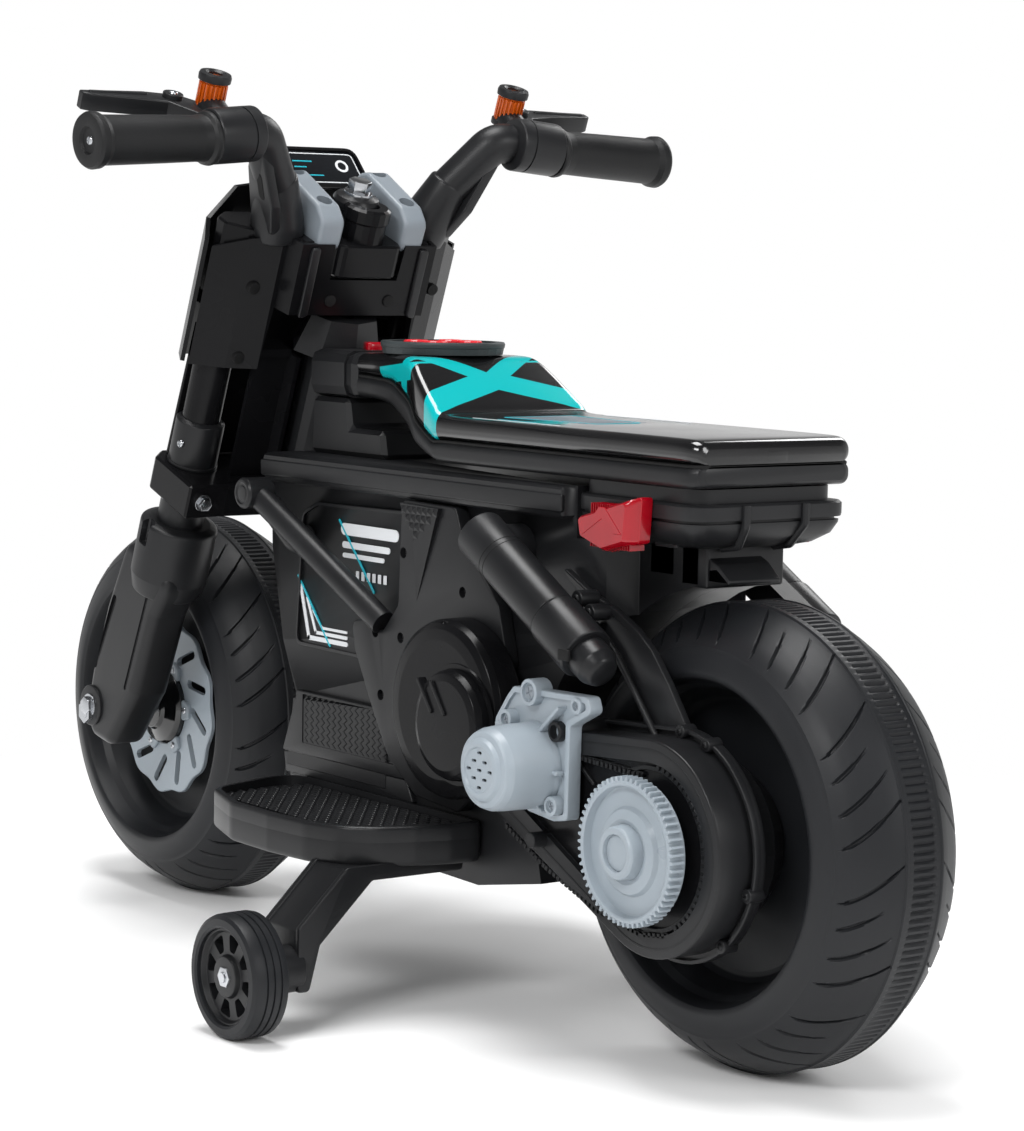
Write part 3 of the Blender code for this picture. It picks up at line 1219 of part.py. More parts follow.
def build_motor():
    """Motor cover: a bracket with screw ears on the case, and the round can."""
    outline = [
        rear(0.124, 0.080),
        rear(0.044, 0.081),
        rear(0.056, 0.020),
        rear(0.063, 0.003),
        rear(0.078, 0.003),
        rear(0.086, 0.015),
        rear(0.112, 0.015),
        rear(0.129, 0.028),
        rear(0.1335, 0.046),
        rear(0.139, 0.061),
    ]
    low = BELT_FACE_Y + GAP
    motor = add("motor_cover", bevelled(extrusion(rounded(outline, 0.004, 2), low, BRACKET_FACE_Y), 0.0015), GREY)
    ear = rear(0.094, 0.087)
    join(motor, rod((ear[0], low, ear[1]), (ear[0], BRACKET_FACE_Y - SHELL, ear[1]), 0.35 * MOTOR_R, 12))
    cut(motor, rod((ear[0], low - SHELL, ear[1] + SHELL), (ear[0], BRACKET_FACE_Y, ear[1] + SHELL), 0.13 * MOTOR_R, 8))
    centre = rear(0.0993, 0.037)
    can = [(0.0, MOTOR_END_Y + 0.006), (0.60 * MOTOR_R, MOTOR_END_Y + 0.006), (0.64 * MOTOR_R, MOTOR_END_Y + 0.0025)]
    can += [(0.86 * MOTOR_R, MOTOR_END_Y), (0.97 * MOTOR_R, MOTOR_END_Y - 0.005), (1.02 * MOTOR_R, BRACKET_FACE_Y - GAP)]
    can.append((0.0, BRACKET_FACE_Y - GAP))
    join(motor, turned(can, 24, (centre[0], 0.0, centre[1])))


# Footboards and training wheels
def board_outline(inset=0.0):
    """Level outline of the left footboard as (x, y)."""
    inner = BODY_HALF_W + GAP + inset
    out = BOARD_OUT_Y - inset
    return [
        (0.124 - inset, inner),
        (0.122 - inset, 0.082),
        (0.110 - inset, 0.112 - inset),
        (0.072 - inset, out),
        (-0.100 + inset, out),
        (-0.135 + inset, 0.118 - inset),
        (-0.152 + inset, 0.074),
        (-0.152 + inset, inner),
    ]


def build_boards():
    """Footboards with a rim round a sunk floor. The right one carries the accelerator pedal."""
    top = AXLE_Z + BOARD_TOP
    mesh = extrusion(rounded(board_outline(), 0.012, 2), top - BOARD_THICK, top, "XYZ")
    board = add("footboard_left", bevelled(mesh, 0.0015), SATIN)
    cut(board, extrusion(rounded(board_outline(BOARD_RIM), 0.010, 2), top - BOARD_DEEP, top + BOARD_DEEP, "XYZ"))
    twin = mirror(board)
    floor = top - BOARD_DEEP
    hinge = (PEDAL_X, floor + PEDAL_BARREL + GAP)
    for side in (-1, 1):
        y = -PEDAL_Y + side * (PEDAL_HALF_W + SHELL / 2 + GAP)
        lug = capsule((hinge[0], floor - GAP), hinge, PEDAL_BARREL, 3)
        join(twin, extrusion(lug, y - SHELL / 2, y + SHELL / 2))
    cut(twin, rod((hinge[0], -PEDAL_Y - 2 * PEDAL_HALF_W, hinge[1]), (hinge[0], -PEDAL_Y + 2 * PEDAL_HALF_W, hinge[1]), PEDAL_PIN_R + RUNNING, 10))
    pivot = empty_at("pedal_axis", Matrix.Translation((hinge[0], -PEDAL_Y, hinge[1])))
    rise = math.radians(PEDAL_RISE)
    tip = (PEDAL_LONG * math.cos(rise), PEDAL_LONG * math.sin(rise))
    plate = capsule((0.0, 0.0), tip, PEDAL_BARREL * 0.8, 3)
    pedal = add("accelerator_pedal", bevelled(extrusion(plate, -PEDAL_HALF_W, PEDAL_HALF_W), 0.0008), SATIN, pivot)
    reach = PEDAL_HALF_W + SHELL
    join(pedal, rod((0.0, -reach, 0.0), (0.0, reach, 0.0), PEDAL_PIN_R, 10))


def build_training_wheels():
    """Stabilisers: a bent arm under the board with a spindle, and a windowed wheel."""
    under = AXLE_Z + BOARD_TOP - BOARD_THICK - GAP - ARM_THICK / 2
    plate_y = TRAINING_OUT_Y - TRAINING_W - ARM_GAP - ARM_THICK / 2
    path = [(BODY_HALF_W + ARM_THICK, under), (BOARD_OUT_Y - 0.012, under), (plate_y, TRAINING_R + 0.016), (plate_y, TRAINING_R - 0.014)]
    reach = [(-0.054, 0.070), (-0.054, 0.055), (-0.054, 0.016), (-0.040, 0.012)]
    work = bmesh.new()
    rows = [[work.verts.new((TRAINING_X + dx, y, z)) for dx in ends] for (y, z), ends in zip(path, reach)]
    for first, second in zip(rows, rows[1:]):
        work.faces.new((first[0], first[1], second[1], second[0]))
    mesh = bpy.data.meshes.new("arm")
    work.to_mesh(mesh)
    work.free()
    guide = bpy.data.objects.new("arm", mesh)
    TOOLS.objects.link(guide)
    wall = guide.modifiers.new("wall", "SOLIDIFY")
    wall.thickness = ARM_THICK
    wall.offset = 0.0
    wall.use_even_offset = True
    solid = clean(evaluated(guide))
    bpy.data.objects.remove(guide)
    arm = add("training_arm_left", bevelled(solid, 0.0012), SATIN)
    join(arm, rod((TRAINING_X, plate_y, TRAINING_R), (TRAINING_X, TRAINING_OUT_Y - GAP, TRAINING_R), SPINDLE_R, 12))
    nut_low = TRAINING_OUT_Y - TRAINING_RECESS + GAP
    join(arm, rod((TRAINING_X, nut_low, TRAINING_R), (TRAINING_X, TRAINING_OUT_Y - GAP, TRAINING_R), 1.8 * SPINDLE_R, 6))
    mirror(arm)
    hub = empty_at("training_wheel_axis_left", Matrix.Translation((TRAINING_X, 0.0, TRAINING_R)))
    inner, outer = TRAINING_OUT_Y - TRAINING_W, TRAINING_OUT_Y
    bore = SPINDLE_R + RUNNING
    profile = [(TRAINING_R - 0.003, outer), (TRAINING_R, outer - 0.003), (TRAINING_R, inner + 0.003), (TRAINING_R - 0.003, inner)]
    profile += [(bore, inner), (bore, outer - TRAINING_RECESS), (0.42 * TRAINING_R, outer - TRAINING_RECESS), (0.46 * TRAINING_R, outer - 0.002)]
    tyre = add("training_wheel_left", turned(profile, 20, closed=True), TYRE, hub)
    for i in range(WINDOWS):
        turn = math.radians(360.0 * (i + 0.5) / WINDOWS)
        start = (0.54 * TRAINING_R * math.cos(turn), 0.54 * TRAINING_R * math.sin(turn))
        end = (0.72 * TRAINING_R * math.cos(turn), 0.72 * TRAINING_R * math.sin(turn))
        cut(tyre, extrusion(capsule(start, end, 0.085 * TRAINING_R, 2), outer - WINDOW_DEEP, outer + WINDOW_DEEP))
    twin = mirror(tyre)
    twin.parent = empty_at("training_wheel_axis_right", Matrix.Translation((TRAINING_X, 0.0, TRAINING_R)))


build_wheels()
build_legs()
build_stanchions()
build_lower_clamp()
build_stem()
build_upper_clamp()
build_risers()
build_shroud()
build_cowl()
build_display()
build_bars()
build_grips()
build_perches()
build_body()
build_head()
build_side_covers()
build_round_covers()
build_seat()
build_neck_knob()
build_pad()
build_tail()
build_shocks()
build_case()
build_right_arm()
build_gearbox()
build_sprocket()
build_motor()
build_boards()
build_training_wheels()
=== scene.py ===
"""Looks of the kids ride-on motorcycle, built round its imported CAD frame.

Metres throughout. +X is forward, +Y the rider's left, +Z up, and the ground is at zero.
Pieces that steer are drawn as (ahead, left, up) of the steering axis and moved with to_world.
"""
import json
import math

import bmesh
import bpy
from mathutils import Matrix, Vector


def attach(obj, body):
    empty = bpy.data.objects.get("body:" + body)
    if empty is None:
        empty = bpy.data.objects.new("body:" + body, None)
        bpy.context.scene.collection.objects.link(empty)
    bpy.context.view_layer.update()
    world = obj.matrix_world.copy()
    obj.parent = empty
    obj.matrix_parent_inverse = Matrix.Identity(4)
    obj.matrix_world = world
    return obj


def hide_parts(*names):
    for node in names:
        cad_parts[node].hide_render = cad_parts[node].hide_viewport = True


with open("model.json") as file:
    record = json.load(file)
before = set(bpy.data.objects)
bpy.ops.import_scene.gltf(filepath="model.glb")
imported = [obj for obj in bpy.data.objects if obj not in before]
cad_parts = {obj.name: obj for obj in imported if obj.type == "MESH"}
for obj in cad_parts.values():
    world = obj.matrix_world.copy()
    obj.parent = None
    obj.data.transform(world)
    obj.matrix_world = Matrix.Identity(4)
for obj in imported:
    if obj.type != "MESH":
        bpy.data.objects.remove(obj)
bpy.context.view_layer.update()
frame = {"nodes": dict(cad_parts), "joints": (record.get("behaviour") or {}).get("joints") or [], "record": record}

# Places taken from the frame
JOINTS = {joint["name"]: joint for joint in frame["joints"]}
STEER = JOINTS["steering"]
RAKE = math.atan2(-STEER["axis"][0], STEER["axis"][2])
STEERING = Matrix.Translation(STEER["pos_m"]) @ Matrix.Rotation(-RAKE, 4, "Y")
AXLE_Z = JOINTS["rear_wheel_spin"]["pos_m"][2]
REAR_X = JOINTS["rear_wheel_spin"]["pos_m"][0]
FRONT_X = JOINTS["front_wheel_spin"]["pos_m"][0]
TRAINING_X, TRAINING_Z = -0.093, 0.0388


# Finishes
# The third specular belongs to the darker black that paints shade.
COLOURED_SPECULAR, BLACK_SPECULAR, SHADED_SPECULAR = 0.5, 0.32, 0.14
DARKEST_COLOURED = 0.05
COAT_ROUGHNESS = 0.04
BUMP_DISTANCE = 0.0004


def link(tree, source, target):
    tree.links.new(source, target)


def group_of(name, numbers, outputs):
    """A shader group with named number inputs, and its input and output nodes."""
    tree = bpy.data.node_groups.new(name, "ShaderNodeTree")
    tree.interface.new_socket("Vector", in_out="INPUT", socket_type="NodeSocketVector")
    for label, value in numbers.items():
        tree.interface.new_socket(
            label, in_out="INPUT", socket_type="NodeSocketFloat"
        ).default_value = value
    for label in outputs:
        tree.interface.new_socket(label, in_out="OUTPUT", socket_type="NodeSocketFloat")
    return tree, tree.nodes.new("NodeGroupInput"), tree.nodes.new("NodeGroupOutput")


def maths(tree, operation, *values):
    """A Math node. A value is a number or a socket."""
    node = tree.nodes.new("ShaderNodeMath")
    node.operation = operation
    for socket, value in zip(node.inputs, values):
        if isinstance(value, (int, float)):
            socket.default_value = value
        else:
            link(tree, value, socket)
    return node.outputs[0]


def noise_of(tree, vector, scale, detail=2.0, rough=0.5):
    node = tree.nodes.new("ShaderNodeTexNoise")
    link(tree, vector, node.inputs["Vector"])
    if isinstance(scale, (int, float)):
        node.inputs["Scale"].default_value = scale
    else:
        link(tree, scale, node.inputs["Scale"])
    node.inputs["Detail"].default_value = detail
    node.inputs["Roughness"].default_value = rough
    return node.outputs["Fac"]


def ramp(tree, value, low, high, out_low, out_high):
    node = tree.nodes.new("ShaderNodeMapRange")
    for socket, number in zip(node.inputs[1:5], (low, high, out_low, out_high)):
        socket.default_value = number
    link(tree, value, node.inputs[0])
    return node.outputs[0]


def make_moulding():
    """Spark-eroded grain, slow flow marks and fine handling scuffs of moulded plastic."""
    tree, given, result = group_of(
        "moulded_plastic", {"Grain": 1500.0, "Flow": 14.0}, ("Height", "Tone", "Scuff")
    )
    place = given.outputs["Vector"]
    fine = noise_of(tree, place, given.outputs["Grain"], 3.0, 0.6)
    flow = noise_of(tree, place, given.outputs["Flow"], 3.0, 0.45)
    blotch = noise_of(tree, place, 190.0, 2.0, 0.5)
    stretch = tree.nodes.new("ShaderNodeMapping")
    stretch.inputs["Scale"].default_value = (26.0, 30.0, 340.0)
    stretch.inputs["Rotation"].default_value = (0.3, 0.9, 0.2)
    link(tree, place, stretch.inputs["Vector"])
    streak = ramp(tree, noise_of(tree, stretch.outputs[0], 5.0, 4.0, 0.7), 0.62, 0.8, 0.0, 1.0)
    patch = ramp(tree, noise_of(tree, place, 22.0, 2.0, 0.5), 0.5, 0.66, 0.0, 1.0)
    link(
        tree, maths(tree, "ADD", fine, maths(tree, "MULTIPLY", blotch, 0.35)),
        result.inputs["Height"],
    )
    link(tree, flow, result.inputs["Tone"])
    link(tree, maths(tree, "MULTIPLY", streak, patch), result.inputs["Scuff"])
    return tree


MOULDING = make_moulding()


def finish(
    name, colour, roughness, spread=0.05, grain=0.02, grain_size=1500.0, tone=0.18, metallic=0.0,
    coat=0.0, scuff=0.06,
):
    """A Principled finish whose colour, roughness and bump come from the moulding group."""
    material = bpy.data.materials.new(name)
    material.use_nodes = True
    tree = material.node_tree
    shader = tree.nodes["Principled BSDF"]
    shader.inputs["Metallic"].default_value = metallic
    shader.inputs["Coat Weight"].default_value = coat
    shader.inputs["Specular IOR Level"].default_value = (
        COLOURED_SPECULAR if max(colour) > DARKEST_COLOURED or coat else BLACK_SPECULAR
    )
    shader.inputs["Coat Roughness"].default_value = COAT_ROUGHNESS
    place = tree.nodes.new("ShaderNodeTexCoord").outputs["Object"]
    skin = tree.nodes.new("ShaderNodeGroup")
    skin.node_tree = MOULDING
    skin.inputs["Grain"].default_value = grain_size
    link(tree, place, skin.inputs["Vector"])
    mix = tree.nodes.new("ShaderNodeMix")
    mix.data_type = "RGBA"
    mix.inputs["A"].default_value = (*(c * (1 - tone) for c in colour), 1.0)
    mix.inputs["B"].default_value = (*(min(1.0, c * (1 + tone)) for c in colour), 1.0)
    link(tree, ramp(tree, skin.outputs["Tone"], 0.3, 0.7, 0.0, 1.0), mix.inputs["Factor"])
    link(tree, mix.outputs["Result"], shader.inputs["Base Color"])
    rough = ramp(tree, skin.outputs["Tone"], 0.35, 0.65, roughness - spread, roughness + spread)
    link(
        tree, maths(tree, "ADD", rough, maths(tree, "MULTIPLY", skin.outputs["Scuff"], scuff)),
        shader.inputs["Roughness"],
    )
    bump = tree.nodes.new("ShaderNodeBump")
    bump.inputs["Strength"].default_value = grain
    bump.inputs["Distance"].default_value = BUMP_DISTANCE
    link(tree, skin.outputs["Height"], bump.inputs["Height"])
    link(tree, bump.outputs["Normal"], shader.inputs["Normal"])
    return material


SATIN = finish("satin_black_plastic", (0.0105, 0.0108, 0.012), 0.37, grain=0.1)
GRAINED = finish(
    "grained_black_plastic", (0.008, 0.0084, 0.0094), 0.47, grain=0.35, grain_size=900.0
)
GLOSS = finish(
    "gloss_black_plastic", (0.004, 0.004, 0.0045), 0.12, spread=0.03, grain=0.012, coat=0.6,
    scuff=0.1,
)
TYRE = finish("blown_tyre_plastic", (0.01, 0.0108, 0.0128), 0.46, grain=0.16, grain_size=1100.0)
RUBBER = finish("grip_plastic", (0.0075, 0.0077, 0.0084), 0.5, grain=0.3, grain_size=1000.0)
GREY = finish("blue_grey_plastic", (0.3, 0.345, 0.385), 0.32, grain=0.06, tone=0.06)
SLATE = finish("slate_plastic", (0.215, 0.245, 0.275), 0.38, grain=0.1, tone=0.08)
PAD = finish("pad_plastic", (0.03, 0.037, 0.039), 0.45, grain=0.2)
RED = finish("red_button_plastic", (0.64, 0.012, 0.022), 0.34, grain=0.06, tone=0.08)
RED_LENS = finish(
    "red_lens_plastic", (0.33, 0.001, 0.008), 0.16, spread=0.03, grain=0.01, tone=0.2, coat=0.25
)
AMBER = finish(
    "amber_lens_plastic", (0.56, 0.09, 0.002), 0.16, spread=0.04, grain=0.01, tone=0.14, coat=0.8
)
CLEAR = finish(
    "clear_lens_plastic", (0.7, 0.73, 0.76), 0.08, spread=0.02, grain=0.01, tone=0.03, coat=0.8
)
ZINC = finish(
    "zinc_plated_steel", (0.56, 0.575, 0.6), 0.26, spread=0.07, grain=0.12, grain_size=700.0,
    tone=0.1, metallic=1.0,
)
INK = finish("white_print", (0.7, 0.72, 0.74), 0.45, grain=0.05, tone=0.05)
CYAN = finish("cyan_print", (0.01, 0.42, 0.52), 0.4, grain=0.05, tone=0.05)
SCREEN = finish("display_window", (0.005, 0.006, 0.008), 0.06, spread=0.02, grain=0.01, coat=1.0)
# A darker, less shiny copy of the satin black: painted shade for faces that lie in shade, in recesses and behind
# other parts.
SHADED_BLACK = finish("deep_black_plastic", (0.0055, 0.0055, 0.0062), 0.24, spread=0.04, grain=0.03)
SHADED_BLACK.node_tree.nodes["Principled BSDF"].inputs["Specular IOR Level"].default_value = SHADED_SPECULAR
HOLLOW = finish("shadowed_hole", (0.0035, 0.0035, 0.0038), 0.7, grain=0.05)

PLAIN = {
    "satin_black": SATIN, "gloss_black": GLOSS, "tyre_black": TYRE, "light_grey": GREY,
    "slate_grey": SLATE, "grip_black": RUBBER, "red_button": RED, "red_lens": RED_LENS,
    "amber_lens": AMBER, "pad_green": PAD, "clear_lens": CLEAR, "zinc_steel": ZINC,
}


# Outlines
def rear(dx, dz):
    """A point of a side view, from the rear axle."""
    return REAR_X + dx, AXLE_Z + dz


def front(dx, dz):
    """A point of a side view, from the front axle."""
    return FRONT_X + dx, AXLE_Z + dz


def mid(x, dz):
    """A point of a side view, from the middle of the frame at the axles' height."""
    return x, AXLE_Z + dz


def tenths(*points):
    """Points given in tenths of a millimetre."""
    return [tuple(number / 10000 for number in point) for point in points]


def from_rear(*points):
    """Points of a side view in tenths of a millimetre, from the rear axle."""
    return [rear(dx, dz) for dx, dz in tenths(*points)]


def from_mid(*points):
    return [mid(x, dz) for x, dz in tenths(*points)]


def arc(centre, radius, start, end, steps):
    """Points along an arc, angles in degrees."""
    angles = [math.radians(start + (end - start) * i / steps) for i in range(steps + 1)]
    return [(centre[0] + radius * math.cos(a), centre[1] + radius * math.sin(a)) for a in angles]


def rounded(points, radius, steps=5, closed=True):
    """The line with its corners rounded as far as the sides allow, flat or in space."""
    count = len(points)
    out = []
    for i, corner in enumerate(points):
        here = Vector(corner)
        if not closed and i in (0, count - 1):
            out.append(tuple(here))
            continue
        back = Vector(points[i - 1]) - here
        on = Vector(points[(i + 1) % count]) - here
        turn = back.angle(on)
        if math.pi - turn < 0.03:
            out.append(tuple(here))
            continue
        reach = min(radius / math.tan(turn / 2), 0.48 * back.length, 0.48 * on.length)
        first = here + back.normalized() * reach
        last = here + on.normalized() * reach
        for step in range(steps + 1):
            share = step / steps
            out.append(
                tuple(first * (1 - share) ** 2 + here * 2 * share * (1 - share) + last * share**2)
            )
    return out


def capsule(start, end, radius, steps=10):
    """The outline of a slot with round ends."""
    along = Vector(end) - Vector(start)
    heading = math.degrees(math.atan2(along.y, along.x))
    return arc(end, radius, heading - 90, heading + 90, steps) + arc(
        start, radius, heading + 90, heading + 270, steps
    )


def inset(outline, by):
    """The outline moved inwards by a distance."""
    area = sum(a[0] * b[1] - b[0] * a[1] for a, b in zip(outline, outline[1:] + outline[:1]))
    sign = 1.0 if area > 0 else -1.0
    out = []
    for i, here in enumerate(outline):
        back = Vector(here) - Vector(outline[i - 1])
        on = Vector(outline[(i + 1) % len(outline)]) - Vector(here)
        back = back.normalized() if back.length > 1e-9 else on.normalized()
        on = on.normalized() if on.length > 1e-9 else back
        normal = Vector((-back.y - on.y, back.x + on.x)) * sign
        if normal.length < 1e-6:
            normal = Vector((-on.y, on.x)) * sign
        normal.normalize()
        square = Vector((-on.y, on.x)) * sign
        out.append(tuple(Vector(here) + normal * (by / max(0.35, normal.dot(square)))))
    return out


# Meshes
MERGE = 1e-6


def mesh_of(points, faces):
    """A closed mesh with its faces turned outwards."""
    mesh = bpy.data.meshes.new("shape")
    mesh.from_pydata([tuple(p) for p in points], [], [list(f) for f in faces])
    return face_out(mesh)


def face_out(mesh):
    """Join points that meet and turn the faces outwards."""
    work = bmesh.new()
    work.from_mesh(mesh)
    bmesh.ops.remove_doubles(work, verts=work.verts, dist=MERGE)
    bmesh.ops.recalc_face_normals(work, faces=work.faces)
    if work.calc_volume(signed=True) < 0:
        bmesh.ops.reverse_faces(work, faces=work.faces)
    work.to_mesh(mesh)
    work.free()
    return mesh


def skin(rings, ends=True, ring_closed=True):
    """Faces over rings of equal count."""
    count = len(rings[0])
    points = [p for ring in rings for p in ring]
    wrap = count if ring_closed else count - 1
    faces = []
    for row in range(len(rings) - 1):
        for i in range(wrap):
            j = (i + 1) % count
            faces.append(
                (row * count + i, row * count + j, (row + 1) * count + j, (row + 1) * count + i)
            )
    if ends:
        faces.append(tuple(range(count)))
        faces.append(tuple(reversed(range(len(points) - count, len(points)))))
    return mesh_of(points, faces)


def placer(axes):
    """Where a point drawn as two flat coordinates and a height goes."""
    order = ["XYZ".index(axis) for axis in axes]

    def place(u, v, w):
        point = [0.0, 0.0, 0.0]
        point[order[0]], point[order[1]], point[order[2]] = u, v, w
        return point

    return place


def slab(outline, low, high, edge=0.0008, axes="XZY", steps=3):
    """A flat outline with thickness and rounded edges."""
    place = placer(axes)
    turns = quarter(steps)
    levels = [(low + edge * (1 - math.sin(a)), edge * (1 - math.cos(a))) for a in turns]
    levels += [(high - edge * (1 - math.sin(a)), edge * (1 - math.cos(a))) for a in reversed(turns)]
    return skin([[place(u, v, level) for u, v in inset(outline, by)] for level, by in levels])


def quarter(steps):
    """The angles of a rounded edge."""
    return [math.pi / 2 * (1 - i / steps) for i in range(steps + 1)]


def turned(profile, steps=96, centre=(0.0, 0.0, 0.0), axis="Y"):
    """A profile of (radius, along) turned about an axis. Its ends meet or lie on the axis."""
    order = {"Y": (0, 2, 1), "X": (1, 2, 0), "Z": (0, 1, 2)}[axis]
    rings = []
    for step in range(steps):
        a = 2 * math.pi * step / steps
        ring = []
        for radius, along in profile:
            point = [0.0, 0.0, 0.0]
            point[order[0]] = centre[order[0]] + radius * math.cos(a)
            point[order[1]] = centre[order[1]] + radius * math.sin(a)
            point[order[2]] = centre[order[2]] + along
            ring.append(point)
        rings.append(ring)
    rings.append(rings[0])
    return skin(rings, ends=False, ring_closed=False)


def lathe(profile, fillet=0.0008, fillet_steps=3, steps=96, centre=(0.0, 0.0, 0.0), axis="Y"):
    """A profile with eased corners, turned about an axis."""
    return turned(rounded(profile, fillet, fillet_steps, closed=False), steps, centre, axis)


def laid(mesh, start, end):
    """Lay a shape drawn upwards from the origin along a line."""
    turn = (end - start).to_track_quat("Z", "Y").to_matrix().to_4x4()
    return moved(mesh, Matrix.Translation(start) @ turn)


def rod(start, end, radius, sides=32, edge=0.0005):
    """A round bar between two points, its ends eased."""
    first, last = Vector(start), Vector(end)
    length = (last - first).length
    profile = [(0.0, 0.0), (radius, 0.0), (radius, length), (0.0, length)]
    return laid(lathe(profile, edge, 3, sides, axis="Z"), first, last)


def pin(spot, low, high, radius, sides=24, edge=0.0008):
    """A round bar across the bike, at a spot of the side view."""
    return rod((spot[0], low, spot[1]), (spot[0], high, spot[1]), radius, sides, edge)


def hexagon(start, end, radius, edge=0.0006):
    """A six-sided nut or bolt head, its corners chamfered."""
    first, last = Vector(start), Vector(end)
    outline = rounded(arc((0.0, 0.0), radius, 0, 300, 5), edge, 2)
    return laid(slab(outline, 0.0, (last - first).length, edge, "XYZ", 2), first, last)


def box_of(low, high, edge=0.001, steps=3):
    """A box with rounded edges."""
    corner = [(low[0], low[1]), (high[0], low[1]), (high[0], high[1]), (low[0], high[1])]
    return slab(rounded(corner, edge, steps), low[2], high[2], edge * 0.98, "XYZ", steps)


def tube(points, radius, bend=0.01, sides=24, steps=8):
    """A round bar along a bent line."""
    path = [Vector(p) for p in rounded(points, bend, steps, closed=False)]
    rings = []
    normal = None
    for i, here in enumerate(path):
        along = (path[min(i + 1, len(path) - 1)] - path[max(i - 1, 0)]).normalized()
        if normal is None:
            normal = along.orthogonal().normalized()
        normal = (normal - along * normal.dot(along)).normalized()
        across = along.cross(normal)
        size = radius[i] if isinstance(radius, (list, tuple)) else radius
        turns = [2 * math.pi * k / sides for k in range(sides)]
        rings.append([here + (normal * math.cos(t) + across * math.sin(t)) * size for t in turns])
    return skin(rings)


def moved(mesh, matrix):
    mesh.transform(matrix)
    return mesh


def to_world(mesh):
    """Move a shape drawn in the steering frame to where it is at rest."""
    return moved(mesh, STEERING)


def twin(mesh):
    """The right-hand image of a left-hand shape."""
    copy = mesh.copy()
    copy.transform(Matrix.Scale(-1.0, 4, (0.0, 1.0, 0.0)))
    copy.flip_normals()
    return copy


def scratch(mesh):
    obj = bpy.data.objects.new("scratch", mesh)
    bpy.context.scene.collection.objects.link(obj)
    return obj


def baked(obj):
    """The mesh that the object's modifiers make. The object is thrown away."""
    bpy.context.view_layer.update()
    graph = bpy.context.evaluated_depsgraph_get()
    mesh = bpy.data.meshes.new_from_object(obj.evaluated_get(graph))
    bpy.data.objects.remove(obj)
    return mesh


def boolean(mesh, others, operation):
    obj = scratch(mesh)
    helpers = [scratch(other) for other in others]
    for helper in helpers:
        change = obj.modifiers.new(operation.lower(), "BOOLEAN")
        change.operation = operation
        change.object = helper
        change.solver = "EXACT"
    result = baked(obj)
    for helper in helpers:
        bpy.data.objects.remove(helper)
    return result


def cut(mesh, *others):
    return boolean(mesh, others, "DIFFERENCE")


def fuse(mesh, *others):
    return boolean(mesh, others, "UNION")


def gather(*meshes):
    """Several shapes in one mesh, each a body of its own."""
    work = bmesh.new()
    for mesh in meshes:
        work.from_mesh(mesh)
    out = bpy.data.meshes.new("shape")
    work.to_mesh(out)
    work.free()
    return out


# Geometry Nodes
def copies_tree(name, numbers):
    """A tree that places copies of its input shape, and its nodes that the layouts fill in."""
    tree = bpy.data.node_groups.new(name, "GeometryNodeTree")
    face = tree.interface
    face.new_socket("Shape", in_out="INPUT", socket_type="NodeSocketGeometry")
    for label, (kind, value) in numbers.items():
        face.new_socket(label, in_out="INPUT", socket_type=kind).default_value = value
    face.new_socket("Finish", in_out="INPUT", socket_type="NodeSocketMaterial")
    face.new_socket("Geometry", in_out="OUTPUT", socket_type="NodeSocketGeometry")
    given = tree.nodes.new("NodeGroupInput")
    points = tree.nodes.new("GeometryNodePoints")
    place = tree.nodes.new("GeometryNodeInstanceOnPoints")
    real = tree.nodes.new("GeometryNodeRealizeInstances")
    merge = tree.nodes.new("GeometryNodeMergeByDistance")
    paint = tree.nodes.new("GeometryNodeSetMaterial")
    result = tree.nodes.new("NodeGroupOutput")
    merge.inputs["Distance"].default_value = 2e-6
    link(tree, points.outputs[0], place.inputs["Points"])
    link(tree, given.outputs["Shape"], place.inputs["Instance"])
    link(tree, place.outputs[0], real.inputs[0])
    link(tree, real.outputs[0], merge.inputs[0])
    link(tree, merge.outputs[0], paint.inputs[0])
    link(tree, given.outputs["Finish"], paint.inputs["Material"])
    link(tree, paint.outputs[0], result.inputs[0])
    return tree, given, points, place


def vector_maths(tree, operation, first, second):
    node = tree.nodes.new("ShaderNodeVectorMath")
    node.operation = operation
    link(tree, first, node.inputs[0])
    link(tree, second, node.inputs["Scale"] if operation == "SCALE" else node.inputs[1])
    return node.outputs[0]


def make_ring():
    """Copies turned about an axis through a centre."""
    numbers = {
        "Count": ("NodeSocketInt", 12),
        "Centre": ("NodeSocketVector", (0.0, 0.0, 0.0)),
        "Axis": ("NodeSocketVector", (0.0, 1.0, 0.0)),
    }
    tree, given, points, place = copies_tree("copies_in_a_ring", numbers)
    link(tree, given.outputs["Count"], points.inputs["Count"])
    link(tree, given.outputs["Centre"], points.inputs["Position"])
    index = tree.nodes.new("GeometryNodeInputIndex").outputs[0]
    share = maths(tree, "DIVIDE", index, given.outputs["Count"])
    turn = tree.nodes.new("FunctionNodeAxisAngleToRotation")
    link(tree, given.outputs["Axis"], turn.inputs["Axis"])
    link(tree, maths(tree, "MULTIPLY", share, 2 * math.pi), turn.inputs["Angle"])
    link(tree, turn.outputs[0], place.inputs["Rotation"])
    shift = tree.nodes.new("GeometryNodeTransform")
    back = tree.nodes.new("ShaderNodeVectorMath")
    back.operation = "SCALE"
    back.inputs["Scale"].default_value = -1.0
    link(tree, given.outputs["Centre"], back.inputs[0])
    link(tree, given.outputs["Shape"], shift.inputs["Geometry"])
    link(tree, back.outputs[0], shift.inputs["Translation"])
    link(tree, shift.outputs[0], place.inputs["Instance"])
    return tree


